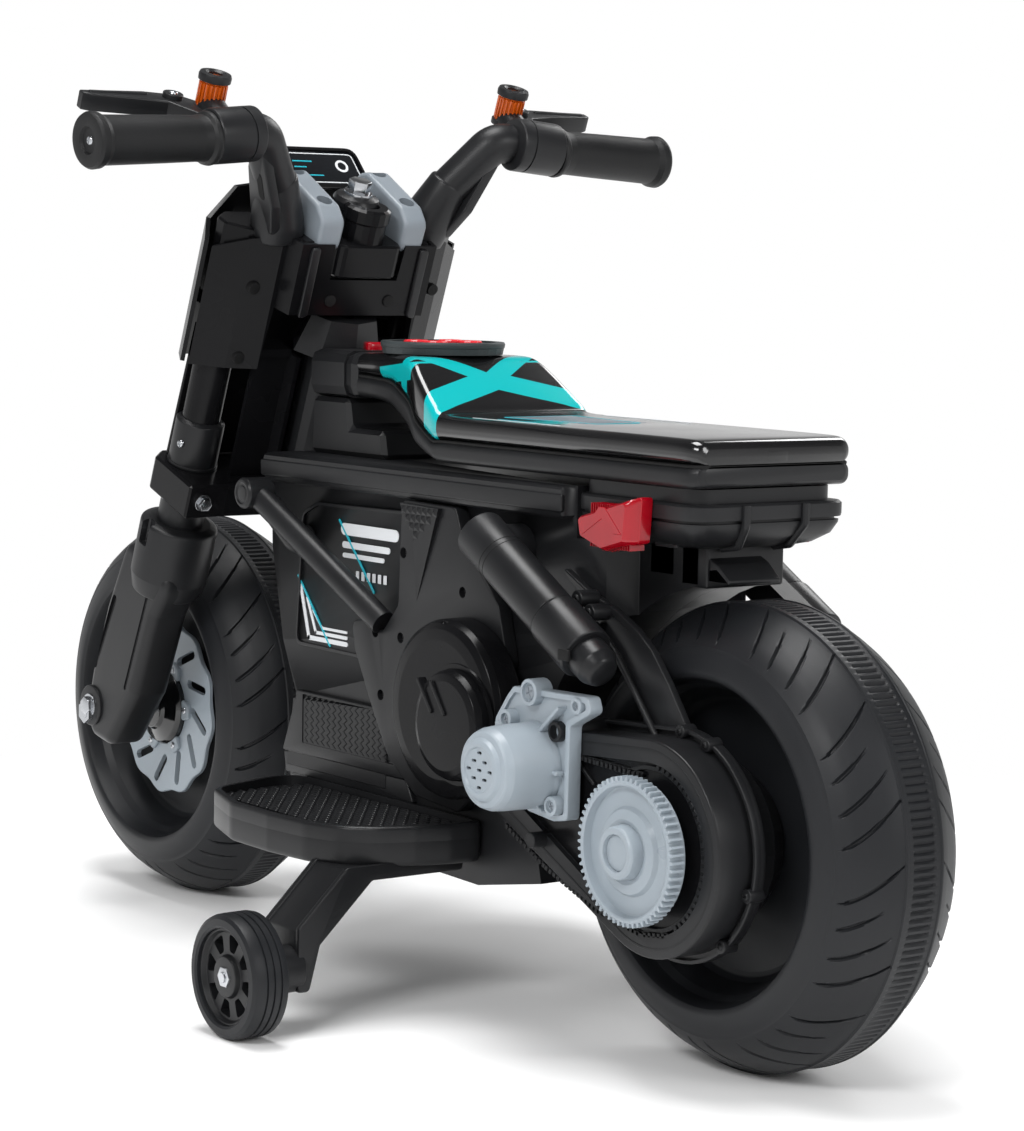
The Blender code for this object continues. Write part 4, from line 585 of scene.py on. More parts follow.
def make_rows():
    """Copies in rows, each row set off from the last."""
    numbers = {
        "Across": ("NodeSocketInt", 4),
        "Along": ("NodeSocketInt", 1),
        "Step Across": ("NodeSocketVector", (0.01, 0.0, 0.0)),
        "Step Along": ("NodeSocketVector", (0.0, 0.01, 0.0)),
    }
    tree, given, points, place = copies_tree("copies_in_rows", numbers)
    total = maths(tree, "MULTIPLY", given.outputs["Across"], given.outputs["Along"])
    link(tree, total, points.inputs["Count"])
    index = tree.nodes.new("GeometryNodeInputIndex").outputs[0]
    row = maths(
        tree, "FLOOR",
        maths(tree, "DIVIDE", maths(tree, "ADD", index, 0.01), given.outputs["Across"]),
    )
    column = maths(tree, "SUBTRACT", index, maths(tree, "MULTIPLY", row, given.outputs["Across"]))
    across = vector_maths(tree, "SCALE", given.outputs["Step Across"], column)
    along = vector_maths(tree, "SCALE", given.outputs["Step Along"], row)
    link(tree, vector_maths(tree, "ADD", across, along), points.inputs["Position"])
    return tree


RING, ROWS = make_ring(), make_rows()


def grown(mesh, tree, material, **values):
    """The plain mesh that a tree makes of a shape, with its named inputs set."""
    obj = scratch(mesh)
    change = obj.modifiers.new("copies", "NODES")
    change.node_group = tree
    sockets = {
        item.name: item.identifier for item in tree.interface.items_tree if item.in_out == "INPUT"
    }
    change[sockets["Finish"]] = material
    for label, value in values.items():
        change[sockets[label.replace("_", " ")]] = value
    return baked(obj)


# Pieces
def piece(name, shapes, body, nodes=(), smooth=32):
    """A finished piece from (mesh, finish) pairs. It rides on a body and stands for CAD nodes."""
    work = bmesh.new()
    materials = []
    for mesh, material in shapes:
        if material not in materials:
            materials.append(material)
        start = len(work.faces)
        work.from_mesh(mesh)
        work.faces.ensure_lookup_table()
        for face in work.faces[start:]:
            face.material_index = materials.index(material)
    out = bpy.data.meshes.new(name)
    work.to_mesh(out)
    work.free()
    for material in materials:
        out.materials.append(material)
    out.shade_smooth()
    out.set_sharp_from_angle(angle=math.radians(smooth))
    obj = bpy.data.objects.new(name, out)
    bpy.context.scene.collection.objects.link(obj)
    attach(obj, body)
    if nodes:
        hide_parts(*nodes)


def pair(name, shapes, body, node="", smooth=32):
    """A piece on the left and its mirror image. What steers is drawn in the steering frame."""
    for side, turn in (("left", lambda mesh: mesh.copy()), ("right", twin)):
        sides = [(turn(mesh), material) for mesh, material in shapes]
        if body == "steering":
            sides = [(to_world(mesh), material) for mesh, material in sides]
        nodes = [node + side] if node else ()
        piece(name + side, sides, body + side if body.endswith("_") else body, nodes, smooth)


def painted(material, *meshes):
    """(mesh, finish) pairs of one finish."""
    return [(mesh, material) for mesh in meshes]


def screw_head(place, normal, radius, tall):
    """A pan head with a cross recess."""
    profile = [(0.0, tall), (radius * 0.7, tall), (radius, 0.0), (0.0, 0.0)]
    head = lathe(profile, radius * 0.35, 3, 20, axis="Z")
    arm = 0.62 * radius
    for turn in (0.0, math.pi / 2):
        bar = box_of(
            (-arm, -0.13 * radius, 0.35 * tall), (arm, 0.13 * radius, 2 * tall), 0.05 * radius, 1
        )
        head = cut(head, moved(bar, Matrix.Rotation(turn + 0.4, 4, "Z")))
    facing = Vector(normal).to_track_quat("Z", "Y").to_matrix().to_4x4()
    return moved(head, Matrix.Translation(place) @ facing)


def screw_at(spot, left, radius, tall):
    """A screw head that looks left, at a spot of the side view."""
    return screw_head((spot[0], left, spot[1]), (0, 1, 0), radius, tall)


# Wheels
# (left, radius, rows to the next point), from the middle of the tread to the lip of the dish
TYRE_SIDE = (
    (0.0, 0.1393, 1), (0.0078, 0.1393, 1), (0.0088, 0.1393, 1), (0.0122, 0.1393, 1),
    (0.0128, 0.1399, 1), (0.0137, 0.1399, 1), (0.0143, 0.1386, 1), (0.015, 0.1384, 2),
    (0.02, 0.1362, 3), (0.026, 0.1328, 3), (0.0324, 0.1288, 3), (0.0385, 0.1241, 2),
    (0.042, 0.1204, 1), (0.0434, 0.1186, 2), (0.0458, 0.1153, 1), (0.0459, 0.1143, 2),
    (0.0478, 0.1105, 2), (0.0494, 0.1058, 2), (0.0502, 0.1012, 1), (0.05, 0.099, 1),
    (0.0488, 0.0971, 1), (0.0462, 0.0957, 1), (0.04, 0.0944, 1), (0.0385, 0.0938, 1),
)
GROUPS = 9  # the tread repeats this many times round the wheel
SECTOR = 360 / GROUPS
COLUMNS = 120
# Degrees into the group, and where the groove ends at the band
GROOVES = ((3.0, 0.0147), (10.5, 0.0255), (19.5, 0.0176), (28.2, 0.0139))
GROOVE_INNER = 0.043
GROOVE_SLANT = 10.4
GROOVE_DEEP = 0.0021
TREAD_START = 24.7  # degrees from straight ahead
BARS = 20  # of the ladder, in a group
SLOT_DEEP = 0.0013
DISH = (
    (0.0938, 0.0385), (0.0905, 0.034), (0.085, 0.02), (0.082, 0.0168), (0.079, 0.016),
    (0.0058, 0.016),
)


def smooth_step(low, high, value):
    share = min(1.0, max(0.0, (value - low) / (high - low)))
    return share * share * (3 - 2 * share)


def tyre_rows():
    """(left, radius, run along the section) of each row of the half section."""
    rows = []
    for (left, radius, count), (next_left, next_radius, _) in zip(TYRE_SIDE, TYRE_SIDE[1:]):
        for i in range(count):
            share = i / count
            rows.append(
                (left + (next_left - left) * share, radius + (next_radius - radius) * share)
            )
    rows.append(TYRE_SIDE[-1][:2])
    runs = [0.0]
    for a, b in zip(rows, rows[1:]):
        runs.append(runs[-1] + math.dist(a, b))
    return [(left, radius, run) for (left, radius), run in zip(rows, runs)]


def run_at(rows, left):
    return next(run for here, _, run in rows if here >= left)


def groove_depth(rows, row, degrees, inner_run):
    """How deep the shoulder is cut at a row and an angle into the group."""
    depth = 0.0
    for start, band_end in GROOVES:
        end_run = run_at(rows, band_end)
        length = inner_run - end_run
        along = (row[2] - end_run) / length
        if not -0.02 <= along <= 1.02:
            continue
        taper = min(1.0, (1.04 - along) * 5.0) * (0.35 + 0.65 * min(1.0, along * 2.2 + 0.05))
        half = 0.72 * max(0.28, taper)
        depth = max(
            depth,
            GROOVE_DEEP * (1 - smooth_step(half * 0.5, half, abs(degrees - start))) * min(
                1.0, taper + 0.25
            ),
        )
    return depth


def tread_depth(rows, row, degrees, inner_run):
    if row[0] <= 0.008:
        phase = (degrees * BARS / SECTOR) % 1.0
        return SLOT_DEEP * smooth_step(0.1, 0.2, phase) * (1 - smooth_step(0.45, 0.55, phase))
    return groove_depth(rows, row, degrees, inner_run)


def tyre_sector():
    """One group of the tread: ladder band, four slanted grooves, sidewall, bead ring and lip."""
    rows = tyre_rows()
    inner_run, band_run = run_at(rows, GROOVE_INNER), run_at(rows, 0.0139)
    half = []
    for index, row in enumerate(rows):
        before, after = rows[max(index - 1, 0)], rows[min(index + 1, len(rows) - 1)]
        normal = Vector((before[1] - after[1], after[0] - before[0])).normalized()
        share = min(1.0, max(0.0, (inner_run - row[2]) / (inner_run - band_run)))
        slant = GROOVE_SLANT * share**1.3
        line = []
        for column in range(COLUMNS + 1):
            degrees = SECTOR * column / COLUMNS
            depth = tread_depth(rows, row, degrees, inner_run)
            turn = math.radians(degrees + TREAD_START - slant)
            radius = row[1] - depth * normal.y
            left = row[0] - depth * normal.x
            line.append((radius * math.cos(turn), left, radius * math.sin(turn)))
        half.append(line)
    mirrored = [[(x, -y, z) for x, y, z in line] for line in reversed(half[1:])]
    return skin(mirrored + half, ends=False, ring_closed=False)


def build_tyre(name, centre_x):
    """Blown tyre with its deep dish."""
    centre = (centre_x, 0.0, AXLE_Z)
    sector = grown(tyre_sector(), RING, TYRE, Count=GROUPS)
    sector.transform(Matrix.Translation(centre))
    inside = rounded(DISH, 0.003, 4, closed=False)
    inside += [(radius, -left) for radius, left in reversed(inside)]
    dish = turned(inside, 128, centre)
    dish.flip_normals()
    piece(name + "_tyre", [(sector, TYRE), (dish, TYRE)], name, [name], 28)


def build_wheels():
    build_tyre("rear_wheel", REAR_X)
    build_tyre("front_wheel", FRONT_X)


# Seat and tail
BAND_CROSS = 0.04  # the bands cross this far behind the middle
BANDS = (  # (run ahead, rise to the side), half width, way from the crossing
    ((0.024, 0.045), 0.0056, 1.0),
    ((-0.0205, 0.07), 0.0078, -1.0),
)
BAND_START = (-0.0065, -0.006)
STRIP_X, STRIP_Z, STRIP_SIDE = 0.002, 0.4035, 0.0335  # the strip on the seat's shoulder
STRIP_REACH, STRIP_HALF, STRIP_SLOPE = 0.028, 0.006, 0.1
PRINT_EDGE = 0.0003
TENSION = 0.35  # of the seat's curve through its stations


def seat_finish():
    """Gloss black with the crossed teal bands of the seat's front."""
    material = finish(
        "seat_gloss", (0.006, 0.006, 0.0066), 0.16, spread=0.03, grain=0.02, coat=0.45, scuff=0.08
    )
    tree = material.node_tree
    shader = tree.nodes["Principled BSDF"]
    black = shader.inputs["Base Color"].links[0].from_socket
    place = tree.nodes.new("ShaderNodeSeparateXYZ")
    link(tree, tree.nodes["Texture Coordinate"].outputs["Object"], place.inputs[0])
    side = maths(tree, "ABSOLUTE", place.outputs["Y"])
    ahead = maths(tree, "ADD", place.outputs["X"], BAND_CROSS)

    def within(value, half):
        """One where the value lies less than half from zero."""
        return ramp(tree, maths(tree, "ABSOLUTE", value), half, half - PRINT_EDGE, 0.0, 1.0)

    masks = []
    for (run, rise), half, sign in BANDS:
        long = math.hypot(run, rise)
        first = maths(tree, "MULTIPLY", ahead, rise / long)
        off = maths(tree, "SUBTRACT", first, maths(tree, "MULTIPLY", side, run / long))
        this_way = ramp(tree, maths(tree, "MULTIPLY", ahead, sign), *BAND_START, 0.0, 1.0)
        masks.append(maths(tree, "MULTIPLY", within(off, half), this_way))
    rise = maths(tree, "MULTIPLY", maths(tree, "ADD", place.outputs["X"], 0.03), STRIP_SLOPE)
    height = maths(tree, "ADD", maths(tree, "SUBTRACT", place.outputs["Z"], STRIP_Z), rise)
    length = maths(tree, "SUBTRACT", place.outputs["X"], STRIP_X)
    strip = maths(tree, "MULTIPLY", within(height, STRIP_HALF), within(length, STRIP_REACH))
    outside = ramp(tree, side, STRIP_SIDE, STRIP_SIDE + 0.0005, 0.0, 1.0)
    masks.append(maths(tree, "MULTIPLY", strip, outside))
    mix = tree.nodes.new("ShaderNodeMix")
    mix.data_type = "RGBA"
    mix.inputs["B"].default_value = (0.0, 0.385, 0.4, 1.0)
    link(
        tree, maths(tree, "MAXIMUM", maths(tree, "MAXIMUM", masks[0], masks[1]), masks[2]),
        mix.inputs["Factor"],
    )
    link(tree, black, mix.inputs["A"])
    link(tree, mix.outputs["Result"], shader.inputs["Base Color"])
    return material


def spline_of(stations, steps):
    """More stations between the given ones, on a smooth curve."""
    out = []
    count = len(stations)
    for i in range(count - 1):
        p0, p1, p2, p3 = (stations[min(max(k, 0), count - 1)] for k in (i - 1, i, i + 1, i + 2))
        for step in range(steps):
            t = step / steps
            row = []
            for a, b, c, d in zip(p0, p1, p2, p3):
                value = (2 * t**3 - 3 * t**2 + 1) * b + (t**3 - 2 * t**2 + t) * (TENSION * (c - a))
                value += (3 * t**2 - 2 * t**3) * c
                row.append(value + (t**3 - t**2) * (TENSION * (d - b)))
            out.append(tuple(row))
    out.append(stations[-1])
    return out


def shell_ring(x, half, low, high, corner, steps=7):
    """A cross-section with round edges."""
    radius = min(corner, (high - low) / 2.1, half / 1.2)
    ring = []
    wide, below, above = half - radius, low + radius, high - radius
    for y, z, start in (
        (-wide, below, 180), (wide, below, 270), (wide, above, 0), (-wide, above, 90)
    ):
        ring += [(x, u, v) for u, v in arc((y, z), radius, start, start + 90, steps)]
    return ring


SEAT_STATIONS = (  # (x, half width, lower shell's bottom, seam, top)
    (0.061, 0.038, 0.382, 0.396, 0.411), (0.037, 0.04, 0.381, 0.395, 0.412),
    (0.013, 0.044, 0.378, 0.393, 0.412), (-0.019, 0.0525, 0.366, 0.382, 0.411),
    (-0.035, 0.0575, 0.356, 0.37, 0.401), (-0.059, 0.0622, 0.3485, 0.36, 0.383),
    (-0.073, 0.0625, 0.3465, 0.36, 0.3765), (-0.15, 0.0625, 0.3465, 0.36, 0.376),
    (-0.26, 0.0625, 0.3465, 0.36, 0.376), (-0.305, 0.0622, 0.3465, 0.36, 0.3758),
    (-0.316, 0.061, 0.3468, 0.36, 0.3752), (-0.3215, 0.058, 0.348, 0.36, 0.3735),
    (-0.3235, 0.054, 0.35, 0.36, 0.37),
)


def build_seat():
    """Gloss upper shell with a soft edge over a satin lower shell, split by a fine seam."""
    rows = spline_of(SEAT_STATIONS, 6)
    upper = skin(
        [shell_ring(x, half, seam + 0.0004, top, 0.0075) for x, half, _, seam, top in rows]
    )
    lower = skin([shell_ring(x, half + 0.0002, low, seam, 0.005) for x, half, low, seam, _ in rows])
    lip = skin([
        shell_ring(x, half - 0.0012, seam - 0.001, seam + 0.001, 0.0005, 1)
        for x, half, _, seam, _ in rows
    ])
    piece("seat_upper_shell", [(upper, seat_finish())], "chassis", ["seat_top"], 40)
    lines = []
    for left, start, end, wide in (
        (0.052, -0.092, -0.182, 0.0006), (-0.052, -0.092, -0.182, 0.0006),
        (0.046, -0.11, -0.15, 0.0004),
    ):
        edges = (left - wide, left + wide)
        corners = [(start, edges[0]), (start, edges[1]), (end, edges[1]), (end, edges[0])]
        lines.append(slab(corners, 0.3758, 0.37622, 0.0001, "XYZ", 1))
    frame_line = rounded(tenths((-920, 300), (-920, -300), (-1750, -180), (-1750, 180)), 0.004)
    ring = cut(
        slab(frame_line, 0.3755, 0.37622, 0.0001, "XYZ", 1),
        slab(inset(frame_line, 0.0009), 0.37, 0.38, 0.0001, "XYZ", 1),
    )
    grid = box_of((-0.095, -0.025, 0.3755), (-0.0946, 0.025, 0.37615), 0.0001, 1)
    weave = grown(grid, ROWS, SLATE, Across=16, Along=1, Step_Across=(-0.005, 0.0, 0.0))
    piece(
        "seat_lines", [(gather(*lines[:2]), INK), (lines[2], CYAN), (ring, CYAN), (weave, SLATE)],
        "chassis", (),
    )
    catch = box_of((-0.3236, -0.0085, 0.361), (-0.318, 0.0085, 0.369), 0.0012)
    piece(
        "seat_lower_shell", [(lower, SATIN), (lip, HOLLOW), (catch, GLOSS)], "chassis",
        ["seat_base"], 40,
    )


TAIL_NOSE, TAIL_END, TAIL_HALF = -0.2056, -0.3232, 0.0598


def tail_ring(z, by):
    """A level of the tail shell, its rear and sides set in."""
    end, half = TAIL_END + by, TAIL_HALF - by
    outline = rounded([(end, -half), (TAIL_NOSE, -half), (TAIL_NOSE, half), (end, half)], 0.016, 8)
    return [(x, y, z) for x, y in outline]


def build_tail():
    """Two-lipped shell with a chamfered belly, ribs and two rear guards."""
    levels = (
        (0.3102, 0.02), (0.3125, 0.012), (0.318, 0.0045), (0.3245, 0.0014), (0.3262, 0.0012),
        (0.3264, 0.003), (0.328, 0.003), (0.3282, 0.0004), (0.33, 0.0), (0.3362, 0.0),
        (0.3376, 0.0012), (0.338, 0.006), (0.3462, 0.006),
    )
    shell = skin([tail_ring(z, by) for z, by in levels])
    guard = tube(
        tenths((-3240, 230, 3370), (-3240, 230, 3250), (-3140, 200, 3122), (-3000, 200, 3100)),
        0.0026, 0.004, 10,
    )
    ribs = [
        box_of((-0.29, y, 0.31), (-0.27, y + 0.002, 0.316), 0.0004, 1)
        for y in (-0.045, -0.028, 0.028, 0.045)
    ]
    piece(
        "tail_shell", painted(SATIN, shell, guard, twin(guard), gather(*ribs)), "chassis",
        ["tail_base"],
    )


def build_tail_lamps():
    """Faceted red lenses with a moulded chevron, each in a dark rim."""
    at = from_rear((895, 1855), (340, 2010), (365, 1730), (620, 1660), (865, 1735))
    outer = rounded(at, 0.003, 4)
    body = slab(outer, 0.0601, 0.0688, 0.0006)
    middle = Vector((sum(p[0] for p in at) / 5, sum(p[1] for p in at) / 5))
    rings = []
    for y, share in ((0.0685, 0.99), (0.0735, 0.93), (0.0765, 0.84), (0.0772, 0.8)):
        rings.append([
            (middle.x + (u - middle.x) * share, y, middle.y + (v - middle.y) * share)
            for u, v in outer
        ])
    lens = skin(rings)
    vee = from_rear((800, 1750), (640, 1930), (580, 1930), (420, 1780), (500, 1780), (610, 1860))
    step = slab(vee, 0.0768, 0.0775, 0.0003, steps=1)
    rib = box_of((rear(0.043, 0)[0], 0.059, 0.308), (rear(0.0434, 0)[0], 0.07, 0.334), 0.0001, 1)
    fins = grown(rib, ROWS, RED_LENS, Across=18, Along=1, Step_Across=(0.0022, 0.0, 0.0))
    pair(
        "tail_lens_", painted(RED_LENS, lens, step, body, fins), "chassis", "tail_lamp_",
        24,
    )


# Covers on the engine
COVER_FACE = 0.065
COVER = from_mid(
    (-325, 1805), (-925, 1795), (-1010, 1600), (-1400, 1220), (-1500, 880), (-1280, 100),
    (-1000, -140), (-520, -100), (-200, 120), (30, 480), (200, 780), (240, 960), (60, 990),
    (-120, 920), (-300, 1120),
)
COVER_SCREWS = (
    mid(-0.0355, 0.1461), mid(-0.1015, 0.1268), mid(-0.0044, 0.0913), mid(-0.0335, 0.0906),
    mid(-0.0115, 0.0506),
)


def pyramid(size, tall):
    """A low pyramid on a face that looks left."""
    points = [(-size, 0, -size), (size, 0, -size), (size, 0, size), (-size, 0, size), (0, tall, 0)]
    return mesh_of(points, [(3, 2, 1, 0), (0, 1, 4), (1, 2, 4), (2, 3, 4), (3, 0, 4)])


def build_side_cover():
    """Y-shaped cover with sunk screws, a grained triangle over a chamfered facet, and the strut."""
    cover = slab(rounded(COVER, 0.006, 4), 0.0553, COVER_FACE, 0.001)
    top = from_mid((-345, 1790), (-780, 1780), (-505, 1550))
    facet = [(*mid(-0.0505, 0.155), 1), (*mid(-0.078, 0.178), 1), (*mid(-0.051, 0.116), 0)]
    wedge = mesh_of(
        [(x, COVER_FACE - 0.001, z) for x, z, _ in facet] + [
            (x, COVER_FACE + 0.0032 * up, z) for x, z, up in facet
        ],
        [(0, 1, 2), (5, 4, 3), (0, 3, 4, 1), (1, 4, 5, 2), (2, 5, 3, 0)],
    )
    plate = slab(top, COVER_FACE - 0.001, COVER_FACE + 0.0032, 0.0004, steps=1)
    places = []
    for row in range(4):
        for column in range(7 - 2 * row):
            x, z = mid(-0.0395 - 0.0058 * column - 0.0045 * row, 0.175 - 0.0052 * row)
            places.append((x, z))
    grain = [
        moved(pyramid(0.0026, 0.0015), Matrix.Translation((x, COVER_FACE + 0.0031, z)))
        for x, z in places
        if z > 0.296
    ]
    wells = [pin((x, z), 0.061, 0.068, 0.0036, 24, 0.0002) for x, z in COVER_SCREWS]
    cover = cut(cover, *wells)
    screws = [screw_at((x, z), 0.0612, 0.0026, 0.0014) for x, z in COVER_SCREWS]
    knob, foot, end = front(-0.2063, 0.175), front(-0.2263, 0.142), mid(-0.012, 0.098)
    strut_y = 0.085
    bar = tube(
        [(knob[0], strut_y, knob[1]), (end[0], COVER_FACE - 0.001, end[1])], 0.0085, 0.01, 28
    )
    hub = tenths(
        (0, 965), (48, 965), (52, 960), (68, 960), (74, 968), (92, 965), (106, 950), (106, 760),
        (0, 750),
    )
    knob_mesh = lathe(hub, 0.0008, 3, 40, (knob[0], 0.0, knob[1]))
    stay = tube(
        [(knob[0], strut_y - 0.004, knob[1]), (foot[0], 0.065, foot[1]), (foot[0], 0.055, foot[1])],
        0.008, 0.012, 24,
    )
    base = lathe(
        tenths((0, 620), (95, 620), (125, 553), (0, 553)), 0.002, 4, 32, (foot[0], 0.0, foot[1])
    )
    shapes = painted(SATIN, cover, wedge, plate, gather(*grain)) + painted(GRAINED, gather(*screws))
    return shapes + painted(SATIN, bar, knob_mesh, stay, base)


def build_round_cover():
    """Gloss disc with a soft edge, and the smaller disc with two slanted fins in front of it."""
    x, z = -0.112, 0.195
    wide = tenths(
        (0, 897), (440, 897), (510, 888), (550, 862), (568, 820), (570, 760), (570, 653), (0, 653)
    )
    disc = lathe(wide, 0.002, 4, 128, (x, 0.0, z))
    u, w = -0.1325, 0.1885
    small = tenths((0, 1010), (280, 1005), (325, 990), (346, 950), (350, 863), (0, 863))
    cap = lathe(small, 0.0018, 4, 96, (u, 0.0, w))
    ridge = turned(
        tenths((350, 893), (385, 893), (380, 906), (352, 906), (350, 893)), 96, (u, 0.0, w)
    )
    fins = []
    for along in (-0.006, 0.008):
        start, end = (u + 0.018 + along, w + 0.026), (u + 0.004 + along, w + 0.008)
        fins.append(slab(capsule(start, end, 0.0014), 0.096, 0.1022, 0.0005))
    notch = box_of((x - 0.003, 0.0845, z + 0.054), (x + 0.003, 0.093, z + 0.06), 0.0006, 1)
    disc = cut(disc, notch)
    # The whole cover takes the darker black, which paints shade on it.
    return painted(SHADED_BLACK, disc, cap, ridge, gather(*fins))


def build_covers():
    pair("engine_side_cover_", build_side_cover(), "chassis", "side_cover_")
    pair("engine_disc_cover_", build_round_cover(), "chassis", "round_cover_")


# Frame shell
ZIGZAG_PERIODS, ZIGZAG_SWING, ZIGZAG_HALF = 6, 0.0019, 0.0013


def zigzag(x, top, low):
    """A wavy upright rib's outline."""
    left, right = [], []
    for i in range(2 * ZIGZAG_PERIODS + 1):
        z = top + (low - top) * i / (2 * ZIGZAG_PERIODS)
        shift = ZIGZAG_SWING if i % 2 else -ZIGZAG_SWING
        left.append((x + shift - ZIGZAG_HALF, z))
        right.append((x + shift + ZIGZAG_HALF, z))
    return left + right[::-1]


def build_side_panel():
    """Sunk side panel with printed bars, the zigzag grille and the bevelled engine block."""
    panel = from_mid((990, 1620), (800, 1700), (-300, 1720), (-300, 700), (300, 700), (1060, 710))
    lip = cut(
        slab(rounded(panel, 0.008), 0.054, 0.0566, 0.0005),
        slab(inset(rounded(panel, 0.008), 0.0022), 0.05, 0.06, 0.0002),
    )
    block = from_mid((970, 405), (-150, 405), (-330, -30), (1150, -30))
    raised = slab(rounded(block, 0.002), 0.054, 0.06, 0.0008)
    field = from_mid((900, 385), (40, 385), (-210, 50), (900, 50))
    raised = cut(raised, slab(rounded(field, 0.001), 0.0582, 0.062, 0.0002))
    rib = slab(zigzag(0.086, AXLE_Z + 0.0375, AXLE_Z + 0.006), 0.0578, 0.0598, 0.0003, steps=1)
    ribs = grown(rib, ROWS, SATIN, Across=15, Along=1, Step_Across=(-0.0068, 0.0, 0.0))
    keep = slab(
        from_mid((896, 381), (42, 381), (-205, 54), (896, 54)), 0.057, 0.061, 0.0001, steps=1
    )
    ribs = boolean(ribs, [keep], "INTERSECT")
    lower = slab(
        rounded(from_mid((1150, -30), (-330, -30), (-420, -180), (1120, -180)), 0.002), 0.054,
        0.059, 0.0012,
    )
    shapes = [(lip, SATIN), (raised, SATIN), (ribs, GRAINED), (lower, SATIN)]
    bars = []
    for step, wide in ((0.0, 0.0016), (0.0085, 0.0012), (0.016, 0.0009)):
        line = [
            mid(0.101 - step, 0.112 - step), mid(0.09 - step, 0.077 + step / 2),
            mid(0.044, 0.077 + step / 2),
        ]
        bars += [
            slab(capsule(a, b, wide), 0.0549, 0.0556, 0.0001, steps=1)
            for a, b in zip(line, line[1:])
        ]
    for high, wide, long in ((0.1545, 0.004, 0.06), (0.144, 0.0022, 0.052), (0.137, 0.0016, 0.046)):
        at = mid(0.048, high)
        bars.append(slab(capsule(at, (at[0] - long, at[1]), wide), 0.0549, 0.0556, 0.0001, steps=1))
    dash = box_of((0.03, 0.0549, AXLE_Z + 0.1215), (0.0335, 0.0556, AXLE_Z + 0.1275), 0.0002, 1)
    dashes = grown(dash, ROWS, INK, Across=6, Along=1, Step_Across=(-0.0065, 0.0, 0.0))
    slash = slab(
        capsule(mid(0.054, 0.16), mid(0.012, 0.115), 0.0008), 0.0549, 0.0557, 0.0001, steps=1
    )
    slash_two = slab(
        capsule(mid(0.104, 0.118), mid(0.064, 0.074), 0.0008), 0.0549, 0.0557, 0.0001, steps=1
    )
    shapes += [(gather(*bars), INK), (dashes, INK), (gather(slash, slash_two), CYAN)]
    pair("side_panel_", shapes, "chassis")
    rail = slab(
        rounded(
            [front(-0.179, 0.196), front(-0.18, 0.185), rear(0.116, 0.185), rear(0.116, 0.196)],
            0.002,
        ),
        0.062, 0.0652, 0.001,
    )
    piece("tank_rail_steps", [(rail, SATIN), (twin(rail), SATIN)], "chassis")


# Drive side
CASE_MID = rear(0.0, 0.0)
BELT_PITCH, BELT_RADIUS = 0.0042, 0.0478


def case_outline(by):
    return [rear(0.1535 - by, 0.06 - by)] + arc(CASE_MID, 0.069 - by, 88, 294, 40) + [
        rear(0.1535 - by, by - 0.006)
    ]


def belt_tooth():
    """One chunky tooth of the moulded belt, pointing out of the run."""
    return box_of((-0.0013, 0.064, -0.0005), (0.0013, 0.0862, 0.0026), 0.0003, 1)


def run_of(points, mesh, turn=math.pi):
    """Copies of a tooth along a bent line."""
    out = []
    for (ax, az), (bx, bz) in zip(points, points[1:]):
        length = math.hypot(bx - ax, bz - az)
        heading = math.atan2(bz - az, bx - ax)
        for i in range(max(1, round(length / BELT_PITCH))):
            share = (i + 0.5) * BELT_PITCH / length
            if share > 1:
                continue
            place = Matrix.Translation((ax + (bx - ax) * share, 0.0, az + (bz - az) * share))
            out.append(moved(mesh.copy(), place @ Matrix.Rotation(-heading + turn, 4, "Y")))
    return gather(*out)


